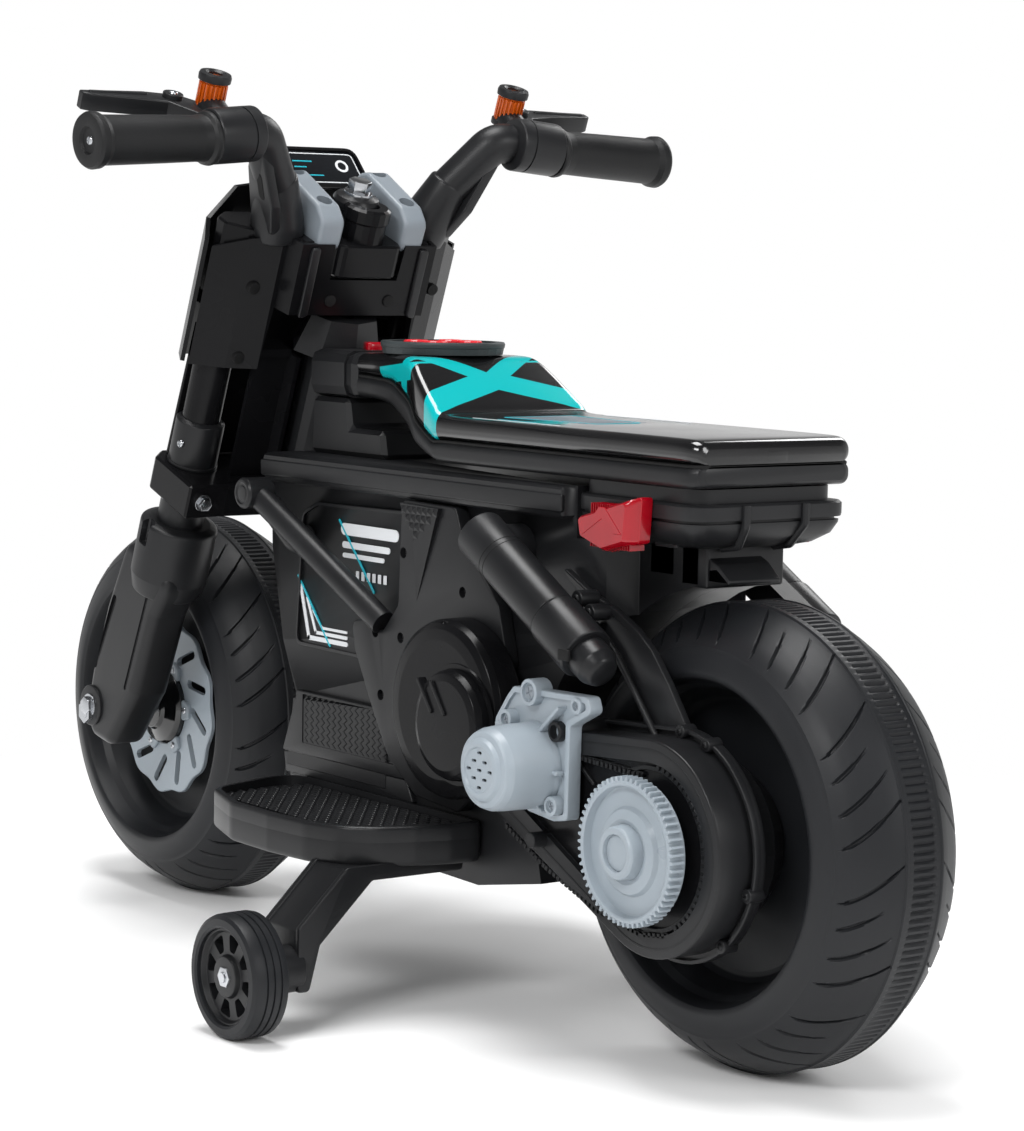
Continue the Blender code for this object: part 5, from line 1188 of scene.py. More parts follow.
def build_drive_case():
    """Belt case: flange with lip and bosses, drum with a sunk face, moulded belt and guard arm."""
    flange = slab(case_outline(0.0), 0.056, 0.0612, 0.001)
    lip = cut(
        slab(case_outline(0.0), 0.059, 0.064, 0.0008),
        slab(case_outline(0.0022), 0.05, 0.07, 0.0002),
    )
    drum = slab(case_outline(0.0052), 0.06, 0.0862, 0.0014)
    well = slab(case_outline(0.0185), 0.0822, 0.09, 0.0008)
    drum = cut(drum, well)
    # The floor of the sunk face takes the darker black, painted shade in the recess.
    floor = slab(case_outline(0.018), 0.079, 0.0824, 0.0002)
    track = cut(
        slab(case_outline(0.0102), 0.085, 0.0864, 0.0004),
        slab(case_outline(0.0118), 0.08, 0.09, 0.0002),
    )
    top = from_rear((1400, 462), (796, 457), (500, 445), (92, 427))
    low = from_rear((-170, -470), (59, -500), (470, -433), (975, -258), (1400, -60))
    belt_back = [
        slab(capsule(a, b, 0.0013, 6), 0.07, 0.085, 0.0004, steps=1)
        for run in (top, low)
        for a, b in zip(run, run[1:])
    ]
    tooth = belt_tooth()
    teeth, teeth_low = run_of(top[::-1], tooth), run_of(low, tooth)
    round_teeth = []
    for k in range(27):
        angle = math.radians(98 + k * 5.4)
        across, up = BELT_RADIUS * math.cos(angle), BELT_RADIUS * math.sin(angle)
        place = Matrix.Translation((CASE_MID[0] + across, 0.0, CASE_MID[1] + up))
        round_teeth.append(
            moved(tooth.copy(), place @ Matrix.Rotation(-angle + math.pi / 2, 4, "Y"))
        )
    back = cut(
        slab(arc(CASE_MID, 0.0488, 0, 354, 59), 0.07, 0.085, 0.0004, steps=1),
        slab(arc(CASE_MID, 0.0462, 0, 354, 59), 0.06, 0.09, 0.0002, steps=1),
        box_of(
            (CASE_MID[0] + 0.004, 0.05, CASE_MID[1] - 0.046),
            (CASE_MID[0] + 0.06, 0.1, CASE_MID[1] + 0.04), 0.001, 1,
        ),
    )
    bosses, screws = [], []
    for angle in (92, 112, 196, 230):
        spot = arc(CASE_MID, 0.0672, angle, angle, 1)[0]
        bosses.append(pin(spot, 0.056, 0.0668, 0.0042, 20, 0.0008))
        screws.append(screw_at(spot, 0.0666, 0.0024, 0.0012))
    post, peg = rear(0.0746, 0.0594), rear(0.1005, -0.01)
    post_mesh = cut(
        pin(post, 0.06, 0.099, 0.0062, 28, 0.0008), pin(post, 0.09, 0.11, 0.0042, 24, 0.0004)
    )
    peg_mesh = pin(peg, 0.07, 0.096, 0.0048, 24, 0.001)
    ribs = []
    for start, end in (
        (rear(0.1, 0.04), rear(0.14, 0.01)), (rear(0.085, 0.02), rear(0.13, -0.002)),
        (rear(0.056, 0.03), rear(0.076, 0.044)),
    ):
        ribs.append(slab(capsule(start, end, 0.0011, 5), 0.076, 0.084, 0.0004, steps=1))
    shapes = painted(SATIN, flange, lip, drum) + painted(SHADED_BLACK, floor) + painted(
        GRAINED, track, gather(*belt_back, back)
    )
    shapes += painted(GRAINED, teeth, teeth_low, gather(*round_teeth)) + painted(
        SATIN, gather(*bosses)
    ) + painted(GRAINED, gather(*screws))
    shapes += painted(SATIN, post_mesh, peg_mesh, gather(*ribs))
    piece("belt_case", shapes + guard_arm(), "chassis", ["drive_case"])


def guard_arm():
    """Swept arm over the case: a web with a raised rim, a rail and two bosses."""
    outer = from_rear(
        (-60, 640), (150, 920), (310, 1100), (460, 1210), (660, 1310), (920, 1390), (1190, 1520)
    )
    inner = from_rear((1120, 1440), (990, 1360), (760, 1170), (580, 990), (300, 560))
    outline = outer + inner
    web = slab(rounded(outline, 0.004, 3), 0.0563, 0.0613, 0.0008)
    rim = cut(
        slab(rounded(outline, 0.004, 3), 0.06, 0.072, 0.001),
        slab(inset(rounded(outline, 0.004, 3), 0.003), 0.05, 0.08, 0.0002),
    )
    rail = tube(
        [
            (rear(*p)[0], 0.064, rear(*p)[1])
            for p in ((0.021, 0.06), (0.044, 0.086), (0.062, 0.106), (0.082, 0.121))
        ],
        0.0022, 0.01, 12, 4,
    )
    out = painted(SATIN, web, rim, rail)
    for spot in (rear(0.075, 0.129), rear(0.0872, 0.136)):
        out.append((pin(spot, 0.06, 0.0745, 0.0052, 24, 0.0008), SATIN))
        out.append((screw_at(spot, 0.0743, 0.003, 0.0014), GRAINED))
    return out


def build_sprocket():
    """Grey pulley: a ring of ramped teeth, a stepped web, a hub ring and a cap."""
    x, z = CASE_MID
    body = tenths(
        (0, 1020), (145, 1020), (190, 1036), (245, 1020), (262, 994), (360, 984), (376, 984),
        (382, 1036), (395, 1041), (412, 1036), (412, 920), (0, 920),
    )
    disc = lathe(body, 0.0006, 2, 120, (x, 0.0, z))
    hub = tenths(
        (105, 1060), (110, 1108), (145, 1108), (155, 1095), (165, 1000), (105, 990), (105, 1060)
    )
    hub_ring = lathe(hub, 0.0005, 2, 72, (x, 0.0, z))
    tooth = slab(
        [
            (x + 0.0405, z - 0.0015), (x + 0.0436, z - 0.0009), (x + 0.0438, z + 0.0005),
            (x + 0.0405, z + 0.0014),
        ],
        0.095, 0.1038, 0.0003, steps=1,
    )
    teeth = grown(tooth, RING, GREY, Count=60, Centre=(x, 0.0, z))
    cap = pin((x, z), 0.097, 0.1085, 0.0108, 48, 0.0012)
    piece(
        "belt_pulley", painted(GREY, disc, hub_ring, teeth, cap), "rear_wheel", ["sprocket"],
        30,
    )


def build_motor():
    """Grey motor can with a stepped end and slots, on its angular plate with screwed ears."""
    x, z = rear(0.0993, 0.036)
    can = tenths(
        (0, 1352), (132, 1352), (140, 1364), (158, 1364), (180, 1356), (192, 1330), (225, 1325),
        (235, 1310), (250, 1270), (256, 1200), (260, 980), (268, 955), (268, 900), (0, 900),
    )
    body = lathe(can, 0.0007, 2, 88, (x, 0.0, z))
    vents = []
    for row in range(3):
        for column in range(3):
            u = x - 0.0053 * row + 0.0053 * column
            w = z + 0.0104 - 0.0052 * (row + column)
            vent = capsule((u - 0.0014, w), (u + 0.0014, w), 0.0009, 5)
            vents.append(slab(vent, 0.13, 0.14, 0.0002, steps=1))
    body = cut(body, *vents)
    dark = slab(arc((x, z), 0.0122, 0, 350, 35), 0.132, 0.1336, 0.0002, steps=1)
    line = tenths(
        (1195, 813), (469, 833), (430, 741), (634, 639), (640, 75), (777, 51), (1031, 77),
        (1285, 260), (1381, 541), (1370, 605), (1257, 751),
    )
    outline = rounded([rear(*p) for p in line], 0.004, 4)
    plate = slab(outline, 0.0863, 0.0962, 0.001)
    sunk = slab(rounded(inset([rear(*p) for p in line], 0.0035), 0.003, 4), 0.094, 0.099, 0.0003)
    plate = cut(plate, sunk)
    shapes = [(body, GREY), (plate, GREY), (dark, HOLLOW)]
    for place, radius, tall in (
        (rear(0.0995, 0.08), 0.0082, 0.1), (rear(0.1212, 0.0612), 0.006, 0.101),
        (rear(0.0747, 0.015), 0.006, 0.101), (rear(0.056, 0.077), 0.005, 0.098),
    ):
        lug = pin(place, 0.087, tall, radius, 30, 0.0008)
        lug = cut(lug, pin(place, tall - 0.0022, tall + 0.01, radius - 0.0022, 24, 0.0003))
        shapes += [(lug, GREY), (screw_at(place, tall - 0.0024, radius - 0.003, 0.0014), SLATE)]
    for start, end in (
        (rear(0.07, 0.074), rear(0.09, 0.056)), (rear(0.118, 0.056), rear(0.13, 0.058)),
        (rear(0.07, 0.035), rear(0.076, 0.035)), (rear(0.085, 0.011), rear(0.09, 0.014)),
    ):
        shapes.append((slab(capsule(start, end, 0.0012, 5), 0.093, 0.101, 0.0005, steps=1), GREY))
    piece("motor_can", shapes, "chassis", ["motor_cover"], 30)


def build_shocks():
    """Smooth two-part shock with a dome end, an outer sleeve, and an elbow into the body."""
    start, end = Vector((-0.152, 0.0915, 0.312)), Vector(
        (rear(0.04, 0)[0], 0.0915, rear(0, 0.099)[1])
    )
    along = (end - start).normalized()

    def at(distance):
        return start + along * distance

    shapes = []
    elbow = tube(
        [(-0.15, 0.0553, 0.299), (-0.15, 0.08, 0.299), tuple(at(0.01)), tuple(at(0.02))], 0.015,
        0.018, 32,
    )
    for first, last, radius in (
        (0.004, 0.0925, 0.0158), (0.0905, 0.096, 0.015), (0.093, 0.129, 0.0168)
    ):
        shapes.append((rod(at(first), at(last), radius, 44, 0.0016), SATIN))
    dome = lathe(tenths((0, 0), (132, 0), (128, 140), (95, 210), (0, 235)), 0.004, 4, 40, axis="Z")
    turn = along.to_track_quat("Z", "Y").to_matrix().to_4x4()
    shapes += [(elbow, SATIN), (moved(dome, Matrix.Translation(at(0.127)) @ turn), SATIN)]
    lines = [rod(at(d), at(d + 0.0006), 0.01595, 44, 0.0002) for d in (0.03, 0.034)]
    shapes.append((gather(*lines), HOLLOW))
    spot = at(0.128)
    low, high = (spot.x - 0.005, 0.106, spot.z - 0.0035), (spot.x + 0.005, 0.1088, spot.z + 0.0035)
    shapes.append((box_of(low, high, 0.0012), HOLLOW))
    pair("shock_tube_", shapes, "chassis", "shock_")


# Front end, drawn in the steering frame as (ahead, left, up)
FORK_TUBE = (0.031, 0.078, 0.0)
AXLE_T, AXLE_S = 0.0671, -0.0201  # the front axle, ahead and up
LEAN = 0.41  # how far a gusset plate leans out as it rises


def build_bars():
    """Bent bar with a gusset plate, an oval grip with flanges, and the lever block."""
    bar = tube(
        tenths(
            (150, 600, 3730), (110, 700, 4050), (30, 960, 4440), (-45, 1400, 4410),
            (-60, 1460, 4405),
        ),
        0.0138, 0.016, 32,
    )
    boot = lathe(
        tenths((0, 0), (185, 0), (182, 120), (160, 300), (140, 460), (0, 470)), 0.003, 4, 40,
        axis="Z",
    )
    aim = Vector((-0.004, 0.01, 0.032)).to_track_quat("Z", "Y").to_matrix().to_4x4()
    boot = moved(boot, Matrix.Translation((0.016, 0.058, 0.368)) @ aim)
    lean = Matrix((
        (1.0, 0.0, 0.0, 0.0), (0.0, 1.0, LEAN, -LEAN * 0.373),
        (0.0, 0.0, 1.0, 0.0), (0.0, 0.0, 0.0, 1.0),
    ))
    gusset = tenths((270, 3720), (0, 3720), (-75, 3950), (-65, 4300), (60, 4380), (180, 4150))
    plate = moved(slab(rounded(gusset, 0.005), 0.066, 0.074, 0.0012, "XZY"), lean)
    recess = moved(
        slab(capsule((0.0035, 0.4), (0.003, 0.412), 0.0036), 0.0736, 0.0744, 0.0002, "XZY", 1), lean
    )
    shapes = painted(SATIN, bar, boot, plate) + painted(HOLLOW, recess)
    pair("handlebar_bend_", shapes, "steering", "handlebar_")
    first, last = Vector((-0.006, 0.1405, 0.4414)), Vector((-0.0115, 0.235, 0.4384))
    way = (last - first).normalized()
    profile = tenths(
        (0, 0), (185, 0), (190, 20), (185, 42), (165, 60), (160, 120), (165, 350), (170, 700),
        (172, 825), (192, 862), (196, 905), (182, 928), (95, 928), (85, 908), (0, 908),
    )
    grip = lathe(profile, 0.0006, 2, 48, axis="Z")
    grip.transform(Matrix.Scale(0.94, 4, (1.0, 0.0, 0.0)))
    screw = screw_head((0.0, 0.0, 0.0905), (0, 0, 1), 0.0034, 0.0014)
    turn = Matrix.Translation(first) @ way.to_track_quat("Z", "X").to_matrix().to_4x4()
    shapes = [(moved(grip, turn), RUBBER), (moved(screw, turn), ZINC)]
    pair("grip_sleeve_", shapes, "steering", "grip_")
    block = cut(
        rod((-0.0035, 0.106, 0.445), (-0.006, 0.141, 0.4425), 0.0185, 44, 0.002),
        rod((-0.0035, 0.116, 0.445), (-0.0037, 0.1172, 0.4449), 0.03, 44, 0.0002),
    )
    core = rod((-0.0035, 0.107, 0.445), (-0.0058, 0.14, 0.4426), 0.0178, 44, 0.001)
    arm = tenths(
        (120, 1180), (120, 1380), (360, 1500), (400, 1700), (440, 2030), (470, 2085), (530, 2080),
        (560, 1600), (520, 1350), (300, 1180),
    )
    lever = slab(arm, 0.4395, 0.4515, 0.0012, "XYZ")
    lever = fuse(lever, rod((0.049, 0.16, 0.4505), (0.049, 0.203, 0.4505), 0.0022, 16, 0.0008))
    pivot = rod((0.044, 0.143, 0.438), (0.044, 0.143, 0.455), 0.007, 28, 0.001)
    base = rod((0.006, 0.1225, 0.444), (0.03, 0.1225, 0.452), 0.01, 28, 0.002)
    shapes = painted(SATIN, block, core, lever, pivot, base) + painted(
        ZINC, screw_head((0.044, 0.143, 0.4548), (0, 0, 1), 0.0034, 0.0014)
    )
    pair("lever_block_", shapes, "steering", "lever_perch_")
    rib = box_of((0.0085, -0.0007, 0.0035), (0.0098, 0.0007, 0.019), 0.0004, 1)
    body = lathe(
        tenths(
            (0, 0), (100, 0), (100, 24), (86, 34), (88, 190), (102, 200), (102, 228), (90, 235),
            (0, 235),
        ),
        0.0005, 2, 44, axis="Z",
    )
    spots = grown(rib, RING, AMBER, Count=20, Centre=(0.0, 0.0, 0.0), Axis=(0.0, 0.0, 1.0))
    ring = tenths(
        (48, 215), (48, 250), (70, 262), (105, 256), (112, 238), (110, 205), (48, 205), (48, 215)
    )
    cap = gather(
        turned(ring, 40, axis="Z"), rod((0.0, 0.0, -0.001), (0.0, 0.0, 0.003), 0.0108, 36, 0.0006)
    )
    tilt = Matrix.Translation((0.03, 0.1225, 0.4488))
    shapes = [(moved(body, tilt), AMBER), (moved(spots, tilt), AMBER), (moved(cap, tilt), SATIN)]
    pair("signal_lens_", shapes, "steering", "turn_signal_")


def build_fork():
    """Fork legs with a screwed ring, a long slot and the forward axle ear."""
    leg = rounded(
        tenths(
            (8, 1125), (669, 1153), (761, 593), (785, 31), (761, -312), (609, -423), (357, -379),
            (170, 137), (121, 778),
        ),
        0.012, 6,
    )
    body = slab(leg, 0.066, 0.0965, 0.007, "XZY", 6)
    slot = slab(capsule((0.0658, 0.0674), (0.0744, 0.0102), 0.003), 0.093, 0.1, 0.0004, "XZY", 1)
    body = cut(
        body, slot,
        slab(capsule((0.024, 0.096), (0.029, 0.014), 0.0016), 0.095, 0.1, 0.0003, "XZY", 1),
    )
    ring = lathe(
        tenths((0, 900), (240, 900), (275, 1040), (275, 1440), (215, 1460), (0, 1460)), 0.003, 4,
        64, FORK_TUBE, "Z",
    )
    notch = box_of((0.026, 0.099, 0.128), (0.036, 0.111, 0.15), 0.001, 1)
    ring = cut(ring, notch)
    ear = pin((AXLE_T, AXLE_S), 0.066, 0.0985, 0.015, 40, 0.0014)
    shapes = painted(SATIN, body, ring, ear) + painted(
        ZINC, screw_head((0.031, 0.0988, 0.136), (0, 1, 0), 0.0034, 0.002)
    )
    pair("fork_shoe_", shapes, "steering", "fork_leg_", smooth=30)
    rodlet = rod((*FORK_TUBE[:2], 0.11), (*FORK_TUBE[:2], 0.33), 0.0135, 36, 0.001)
    sleeve = lathe(
        tenths(
            (0, 1200), (165, 1200), (165, 1900), (172, 1910), (172, 2230), (140, 2250), (0, 2250)
        ),
        0.0008, 3, 44, FORK_TUBE, "Z",
    )
    collar = rod((*FORK_TUBE[:2], 0.19), (*FORK_TUBE[:2], 0.1925), 0.0178, 44, 0.0006)
    screws = [screw_head((0.025, 0.0942, 0.208), (-0.3, 1, 0), 0.0032, 0.0016)]
    screws += [
        rod((-0.0064, 0.088, 0.1775), (-0.0086, 0.088, 0.1775), 0.0062, 28, 0.0004),
        hexagon((-0.0082, 0.088, 0.1775), (-0.0128, 0.088, 0.1775), 0.0048),
    ]
    # The plate behind the legs and the inner rod take the darker black, painted shade between the parts.
    back = slab(
        tenths((300, 1905), (900, 1905), (880, 2900), (300, 3000)), 0.0452, 0.0482, 0.0008, "YZX"
    )
    shapes = [
        (back, SHADED_BLACK), (rodlet, SHADED_BLACK), (sleeve, SATIN), (collar, SATIN), (gather(*screws), ZINC)
    ]
    pair("fork_tube_", shapes, "steering", "stanchion_", smooth=30)


def build_brake_disc():
    """Grey disc with slanted slots, scalloped tabs with screws and a gloss hub."""
    centre = (FRONT_X, 0.0, AXLE_Z)
    outline = []
    for k in range(180):
        a = 2 * math.pi * k / 180
        radius = 0.0648 + 0.0016 * math.sin(6 * a * 2)
        outline.append((FRONT_X + radius * math.cos(a), AXLE_Z + radius * math.sin(a)))
    disc = slab(outline, 0.03, 0.0337, 0.0006, steps=1)
    slots = []
    for k in range(12):
        a = math.radians(30 * k)
        start = (FRONT_X + 0.04 * math.cos(a), AXLE_Z + 0.04 * math.sin(a))
        end = (FRONT_X + 0.057 * math.cos(a + 0.22), AXLE_Z + 0.057 * math.sin(a + 0.22))
        slots.append(slab(capsule(start, end, 0.0032, 5), 0.02, 0.04, 0.0002, steps=1))
    disc = cut(disc, *slots, pin((FRONT_X, AXLE_Z), 0.01, 0.05, 0.029, 48, 0.0004))
    tab = slab(
        rounded(
            [
                (FRONT_X + 0.027, AXLE_Z - 0.0085), (FRONT_X + 0.037, AXLE_Z - 0.005),
                (FRONT_X + 0.037, AXLE_Z + 0.005), (FRONT_X + 0.027, AXLE_Z + 0.0085),
            ],
            0.003,
        ),
        0.031, 0.0365, 0.0008, steps=1,
    )
    tabs = grown(tab, RING, GREY, Count=6, Centre=centre)
    head = screw_at((FRONT_X + 0.032, AXLE_Z), 0.0363, 0.0028, 0.0014)
    heads = grown(head, RING, ZINC, Count=6, Centre=centre)
    hub = lathe(
        tenths((0, 470), (150, 470), (170, 440), (260, 400), (285, 370), (285, 290), (0, 290)),
        0.001, 3, 64, centre,
    )
    shapes = [(disc, GREY), (tabs, GREY), (heads, ZINC), (hub, GLOSS)]
    pair("front_disc_", shapes, "front_wheel", "brake_disc_", 30)


def build_footboards():
    """Footboard with a raised rim and brick-bar tread."""
    outline = tenths(
        (1090, 553), (822, 1304), (739, 1402), (248, 1571), (-219, 1582), (-593, 1543),
        (-863, 1442), (-1013, 1265), (-1100, 1044), (-1166, 808), (-1189, 553),
    )
    edge = rounded(outline, 0.03, 5)
    deck = slab(edge, 0.0965, 0.1162, 0.004, "XYZ", 4)
    rim = cut(
        slab(edge, 0.11, 0.1225, 0.0026, "XYZ", 4),
        slab(inset(edge, 0.005), 0.1, 0.13, 0.0002, "XYZ", 1),
    )
    brick = box_of((0.072, 0.06, 0.115), (0.0812, 0.064, 0.1186), 0.0007, 1)
    even = grown(
        brick, ROWS, SATIN, Across=19, Along=9, Step_Across=(-0.0115, 0.0, 0.0),
        Step_Along=(0.0, 0.009, 0.0),
    )
    odd = grown(
        moved(brick.copy(), Matrix.Translation((-0.0057, 0.0045, 0.0))), ROWS, SATIN, Across=18,
        Along=8, Step_Across=(-0.0115, 0.0, 0.0), Step_Along=(0.0, 0.009, 0.0),
    )
    field = slab(inset(edge, 0.007), 0.11, 0.13, 0.0002, "XYZ", 1)
    tread = boolean(gather(even, odd), [field], "INTERSECT")
    piece("footboard_shell_left", painted(SATIN, deck, rim, tread), "chassis", ["footboard_left"])


def build_training():
    """Bent double-ridged arms, each with a hub."""
    line = tenths(
        (635, 985), (1515, 985), (1867, 640), (1870, 250), (1785, 250), (1709, 535), (1326, 900),
        (635, 900),
    )
    flat = slab(rounded(line, 0.003, 3), -0.105, -0.065, 0.0012, "YZX")
    raised = rounded([(y, z + 0.0012) for y, z in line[:4]] + line[4:], 0.003, 3)
    ridge = slab(raised, -0.1052, -0.101, 0.001, "YZX")
    ridge_two = slab(raised, -0.07, -0.065, 0.001, "YZX")
    hub = pin((TRAINING_X, TRAINING_Z), 0.182, 0.206, 0.015, 40, 0.0016)
    shapes = painted(SATIN, flat, ridge, ridge_two, hub)
    pair("training_leg_", shapes, "chassis", "training_arm_")


# Steering column
def build_column():
    """Collar with its flanged bolt, and grey risers with recesses."""
    disc = lathe(
        tenths(
            (0, 3990), (85, 3990), (150, 3970), (168, 3940), (168, 3900), (150, 3885), (150, 3860),
            (200, 3850), (205, 3790), (165, 3770), (165, 3560), (0, 3560),
        ),
        0.0006, 2, 56, (0.015, 0.0, 0.0), "Z",
    )
    flange = rod((0.015, 0.0, 0.397), (0.015, 0.0, 0.4005), 0.01, 32, 0.0006)
    bolt = hexagon((0.015, 0.0, 0.399), (0.015, 0.0, 0.4085), 0.0082)
    piece(
        "steering_collar",
        [(to_world(disc), SATIN), (to_world(flange), ZINC), (to_world(bolt), ZINC)], "steering",
        ["steering_stem"], 30,
    )
    side = tenths(
        (-125, 3650), (-135, 3880), (-20, 3965), (450, 4040), (570, 3990), (570, 3870), (440, 3830),
        (140, 3740), (50, 3650),
    )
    riser = slab(rounded(side, 0.009, 6), 0.0245, 0.0435, 0.003, "XZY", 5)
    wells = [
        rod((ahead, 0.034, 0.392), (ahead, 0.034, 0.415), 0.0056, 28, 0.0004)
        for ahead in (0.044, 0.004)
    ]
    riser = cut(riser, *wells)
    heads = [
        screw_head((ahead, 0.034, 0.3921), (0, 0, 1), 0.004, 0.002) for ahead in (0.044, 0.004)
    ]
    shapes = [(riser, SLATE), (gather(*heads), HOLLOW)]
    pair("riser_block_", shapes, "steering", "riser_", 30)


def build_shroud_detail():
    """Upright ridges, screw holes in the shroud's panels, and the front axle's nut and washer."""
    ridge = slab(
        rounded(tenths((410, 3200), (480, 3180), (480, 3690), (410, 3700)), 0.0025, 3), -0.016,
        -0.013, 0.001, "YZX",
    )
    wells = [
        rod((t - 0.0026, y, s), (t + 0.004, y, s), 0.0042, 24, 0.0003)
        for t, y, s in ((-0.0122, 0.024, 0.331), (0.0072, 0.074, 0.332), (0.0082, 0.074, 0.28))
    ]
    washer = pin((AXLE_T, AXLE_S), 0.098, 0.0996, 0.0086, 32, 0.0003)
    nut = hexagon((AXLE_T, 0.099, AXLE_S), (AXLE_T, 0.103, AXLE_S), 0.0068)
    shapes = [(ridge, SATIN), (gather(*wells), HOLLOW), (gather(washer, nut), ZINC)]
    pair("shroud_detail_", shapes, "steering")


# Pad and knob
def build_neck():
    """The pad's ring and the knob's triangular lens."""
    pad = (0.016, 0.0, 0.0)
    tops = tenths((355, 4205), (410, 4205), (416, 4190), (412, 4165), (355, 4165), (355, 4205))
    ring = lathe(tops, 0.0008, 3, 96, pad, "Z")
    lens = rounded(tenths((1120, 0), (880, 125), (880, -125)), 0.004, 4)
    ruby = slab(lens, 0.406, 0.4172, 0.0016, "XYZ")
    piece("pad_ring", [(ring, PAD)], "chassis", ())
    piece("knob_lens", [(ruby, RED_LENS)], "chassis", ())


# Training wheels, display and belly
def build_training_wheels():
    """Hard wheel: grooved tread, sunk face with eight windows, ringed hub and lock nut."""
    centre = (TRAINING_X, 0.0, TRAINING_Z)
    tread = tenths((300, 2090), (360, 2090), (382, 2104), (388, 2130))
    for groove in (0.2155, 0.2205, 0.2255):
        tread += [
            (0.0388, groove - 0.0008), (0.0378, groove - 0.0004), (0.0378, groove + 0.0004),
            (0.0388, groove + 0.0008),
        ]
    tread += tenths(
        (386, 2305), (378, 2330), (356, 2345), (316, 2348), (300, 2338), (296, 2300), (296, 2110),
        (300, 2090),
    )
    tyre = turned(tread, 96, centre)
    face = lathe(
        tenths(
            (0, 2325), (125, 2325), (135, 2290), (270, 2285), (285, 2318), (300, 2318), (300, 2120),
            (0, 2120),
        ),
        0.0008, 3, 72, centre,
    )
    windows = []
    for k in range(8):
        a = math.radians(45 * k + 11)
        wedge = [
            (TRAINING_X + r * math.cos(a + t), TRAINING_Z + r * math.sin(a + t))
            for r, t in ((0.0155, -0.17), (0.0262, -0.24), (0.0262, 0.24), (0.0155, 0.17))
        ]
        windows.append(slab(rounded(wedge, 0.002, 4), 0.218, 0.24, 0.0003, steps=1))
    face = cut(face, *windows)
    dark = pin((TRAINING_X, TRAINING_Z), 0.215, 0.2182, 0.0285, 40, 0.0004)
    nut = hexagon((TRAINING_X, 0.229, TRAINING_Z), (TRAINING_X, 0.2336, TRAINING_Z), 0.0068)
    stud = pin((TRAINING_X, TRAINING_Z), 0.232, 0.2349, 0.0034, 20, 0.0005)
    shapes = [(tyre, TYRE), (face, SATIN), (dark, HOLLOW), (nut, ZINC), (stud, ZINC)]
    pair("training_tyre_", shapes, "training_wheel_", "training_wheel_", 30)


def build_display():
    """Raised glossy panel with a pale border, round ends and made-up readings."""
    tilt = Matrix.Translation((0.069, 0.0, 0.3965)) @ Matrix.Rotation(math.radians(-33), 4, "Y")
    frame_line = rounded(tenths((-180, -400), (180, -360), (180, 360), (-180, 400)), 0.01, 6)
    case = slab(frame_line, -0.015, 0.001, 0.002, "XYZ")
    lip = cut(
        slab(frame_line, 0.0, 0.0028, 0.0012, "XYZ"),
        slab(inset(frame_line, 0.003), -0.01, 0.01, 0.0002, "XYZ", 1),
    )
    glass = slab(inset(frame_line, 0.0032), 0.0, 0.0016, 0.0004, "XYZ")
    border = cut(
        slab(inset(frame_line, 0.0052), 0.0012, 0.00185, 0.0001, "XYZ", 1),
        slab(inset(frame_line, 0.006), -0.001, 0.01, 0.0001, "XYZ", 1),
    )
    bars = [
        slab(
            [(x, y), (x, y + w), (x + 0.001, y + w), (x + 0.001, y)], 0.0012, 0.0019, 0.0001, "XYZ",
            1,
        )
        for x, y, w in ((0.005, 0.004, 0.016), (0.0, 0.01, 0.01), (-0.007, -0.002, 0.024))
    ]
    digit = cut(
        slab(arc((0.002, -0.02), 0.0052, 0, 345, 23), 0.0012, 0.0019, 0.0001, "XYZ", 1),
        slab(arc((0.002, -0.02), 0.0034, 0, 345, 23), 0.0, 0.01, 0.0001, "XYZ", 1),
    )
    shapes = [
        (case, SATIN), (lip, GLOSS), (glass, SCREEN), (border, INK), (gather(*bars), CYAN),
        (digit, INK),
    ]
    piece(
        "display_panel", [(to_world(moved(m, tilt)), f) for m, f in shapes], "steering",
        ["display"], 30,
    )


def build_body():
    """The body halves with the rear deck cut back to a narrow mudguard tongue over the wheel."""
    for name, side in (("left", 1), ("right", -1)):
        node = frame["nodes"]["body_" + name]
        shell = node.data.copy()
        shell.transform(node.matrix_world)
        inner, outer = sorted((side * 0.03, side * 0.12))
        away = box_of((-0.42, inner, 0.262), (-0.235, outer, 0.3105), 0.0005, 1)
        behind = box_of((-0.42, -0.12, 0.25), (-0.29, 0.12, 0.3105), 0.0005, 1)
        shell = cut(shell, away, behind)
        piece(
            "body_shell_" + name, [(shell, SATIN)], "chassis", ["body_" + name], 26
        )
    blocks = [
        box_of((rear(0.0491, 0)[0], -0.03, 0.29), (rear(0.0742, 0)[0], 0.03, 0.313), 0.002),
        box_of((rear(0.0201, 0)[0], -0.03, 0.286), (rear(0.0444, 0)[0], 0.03, 0.312), 0.002),
    ]
    tongue = slab(
        rounded(
            from_rear(
                (700, 1500), (473, 1638), (222, 1650), (130, 1610), (20, 1520), (30, 1495),
                (140, 1570), (600, 1470),
            ),
            0.002,
        ),
        -0.012, 0.028, 0.001, "XZY",
    )
    piece("mudguard_tongue", painted(SATIN, blocks[0], blocks[1], tongue), "chassis")


# Plain finishes for the CAD nodes that stay
# The shroud, cowl and clamps take the darker black, which paints shade on them.
SHADED_NODES = ("rear_shroud", "front_cowl", "upper_clamp", "lower_clamp")
for entry in frame["record"]["subparts"]:
    node = frame["nodes"][entry["node"]]
    shown = SHADED_BLACK if entry["node"] in SHADED_NODES else PLAIN[entry["material_slot"]]
    node.data.materials.clear()
    node.data.materials.append(shown)


for build in (
    build_wheels, build_seat, build_tail, build_tail_lamps, build_covers, build_side_panel,
    build_drive_case, build_sprocket, build_motor, build_shocks, build_bars, build_fork,
    build_brake_disc, build_footboards, build_training, build_column, build_shroud_detail,
    build_neck, build_training_wheels, build_display, build_body,
):
    build()


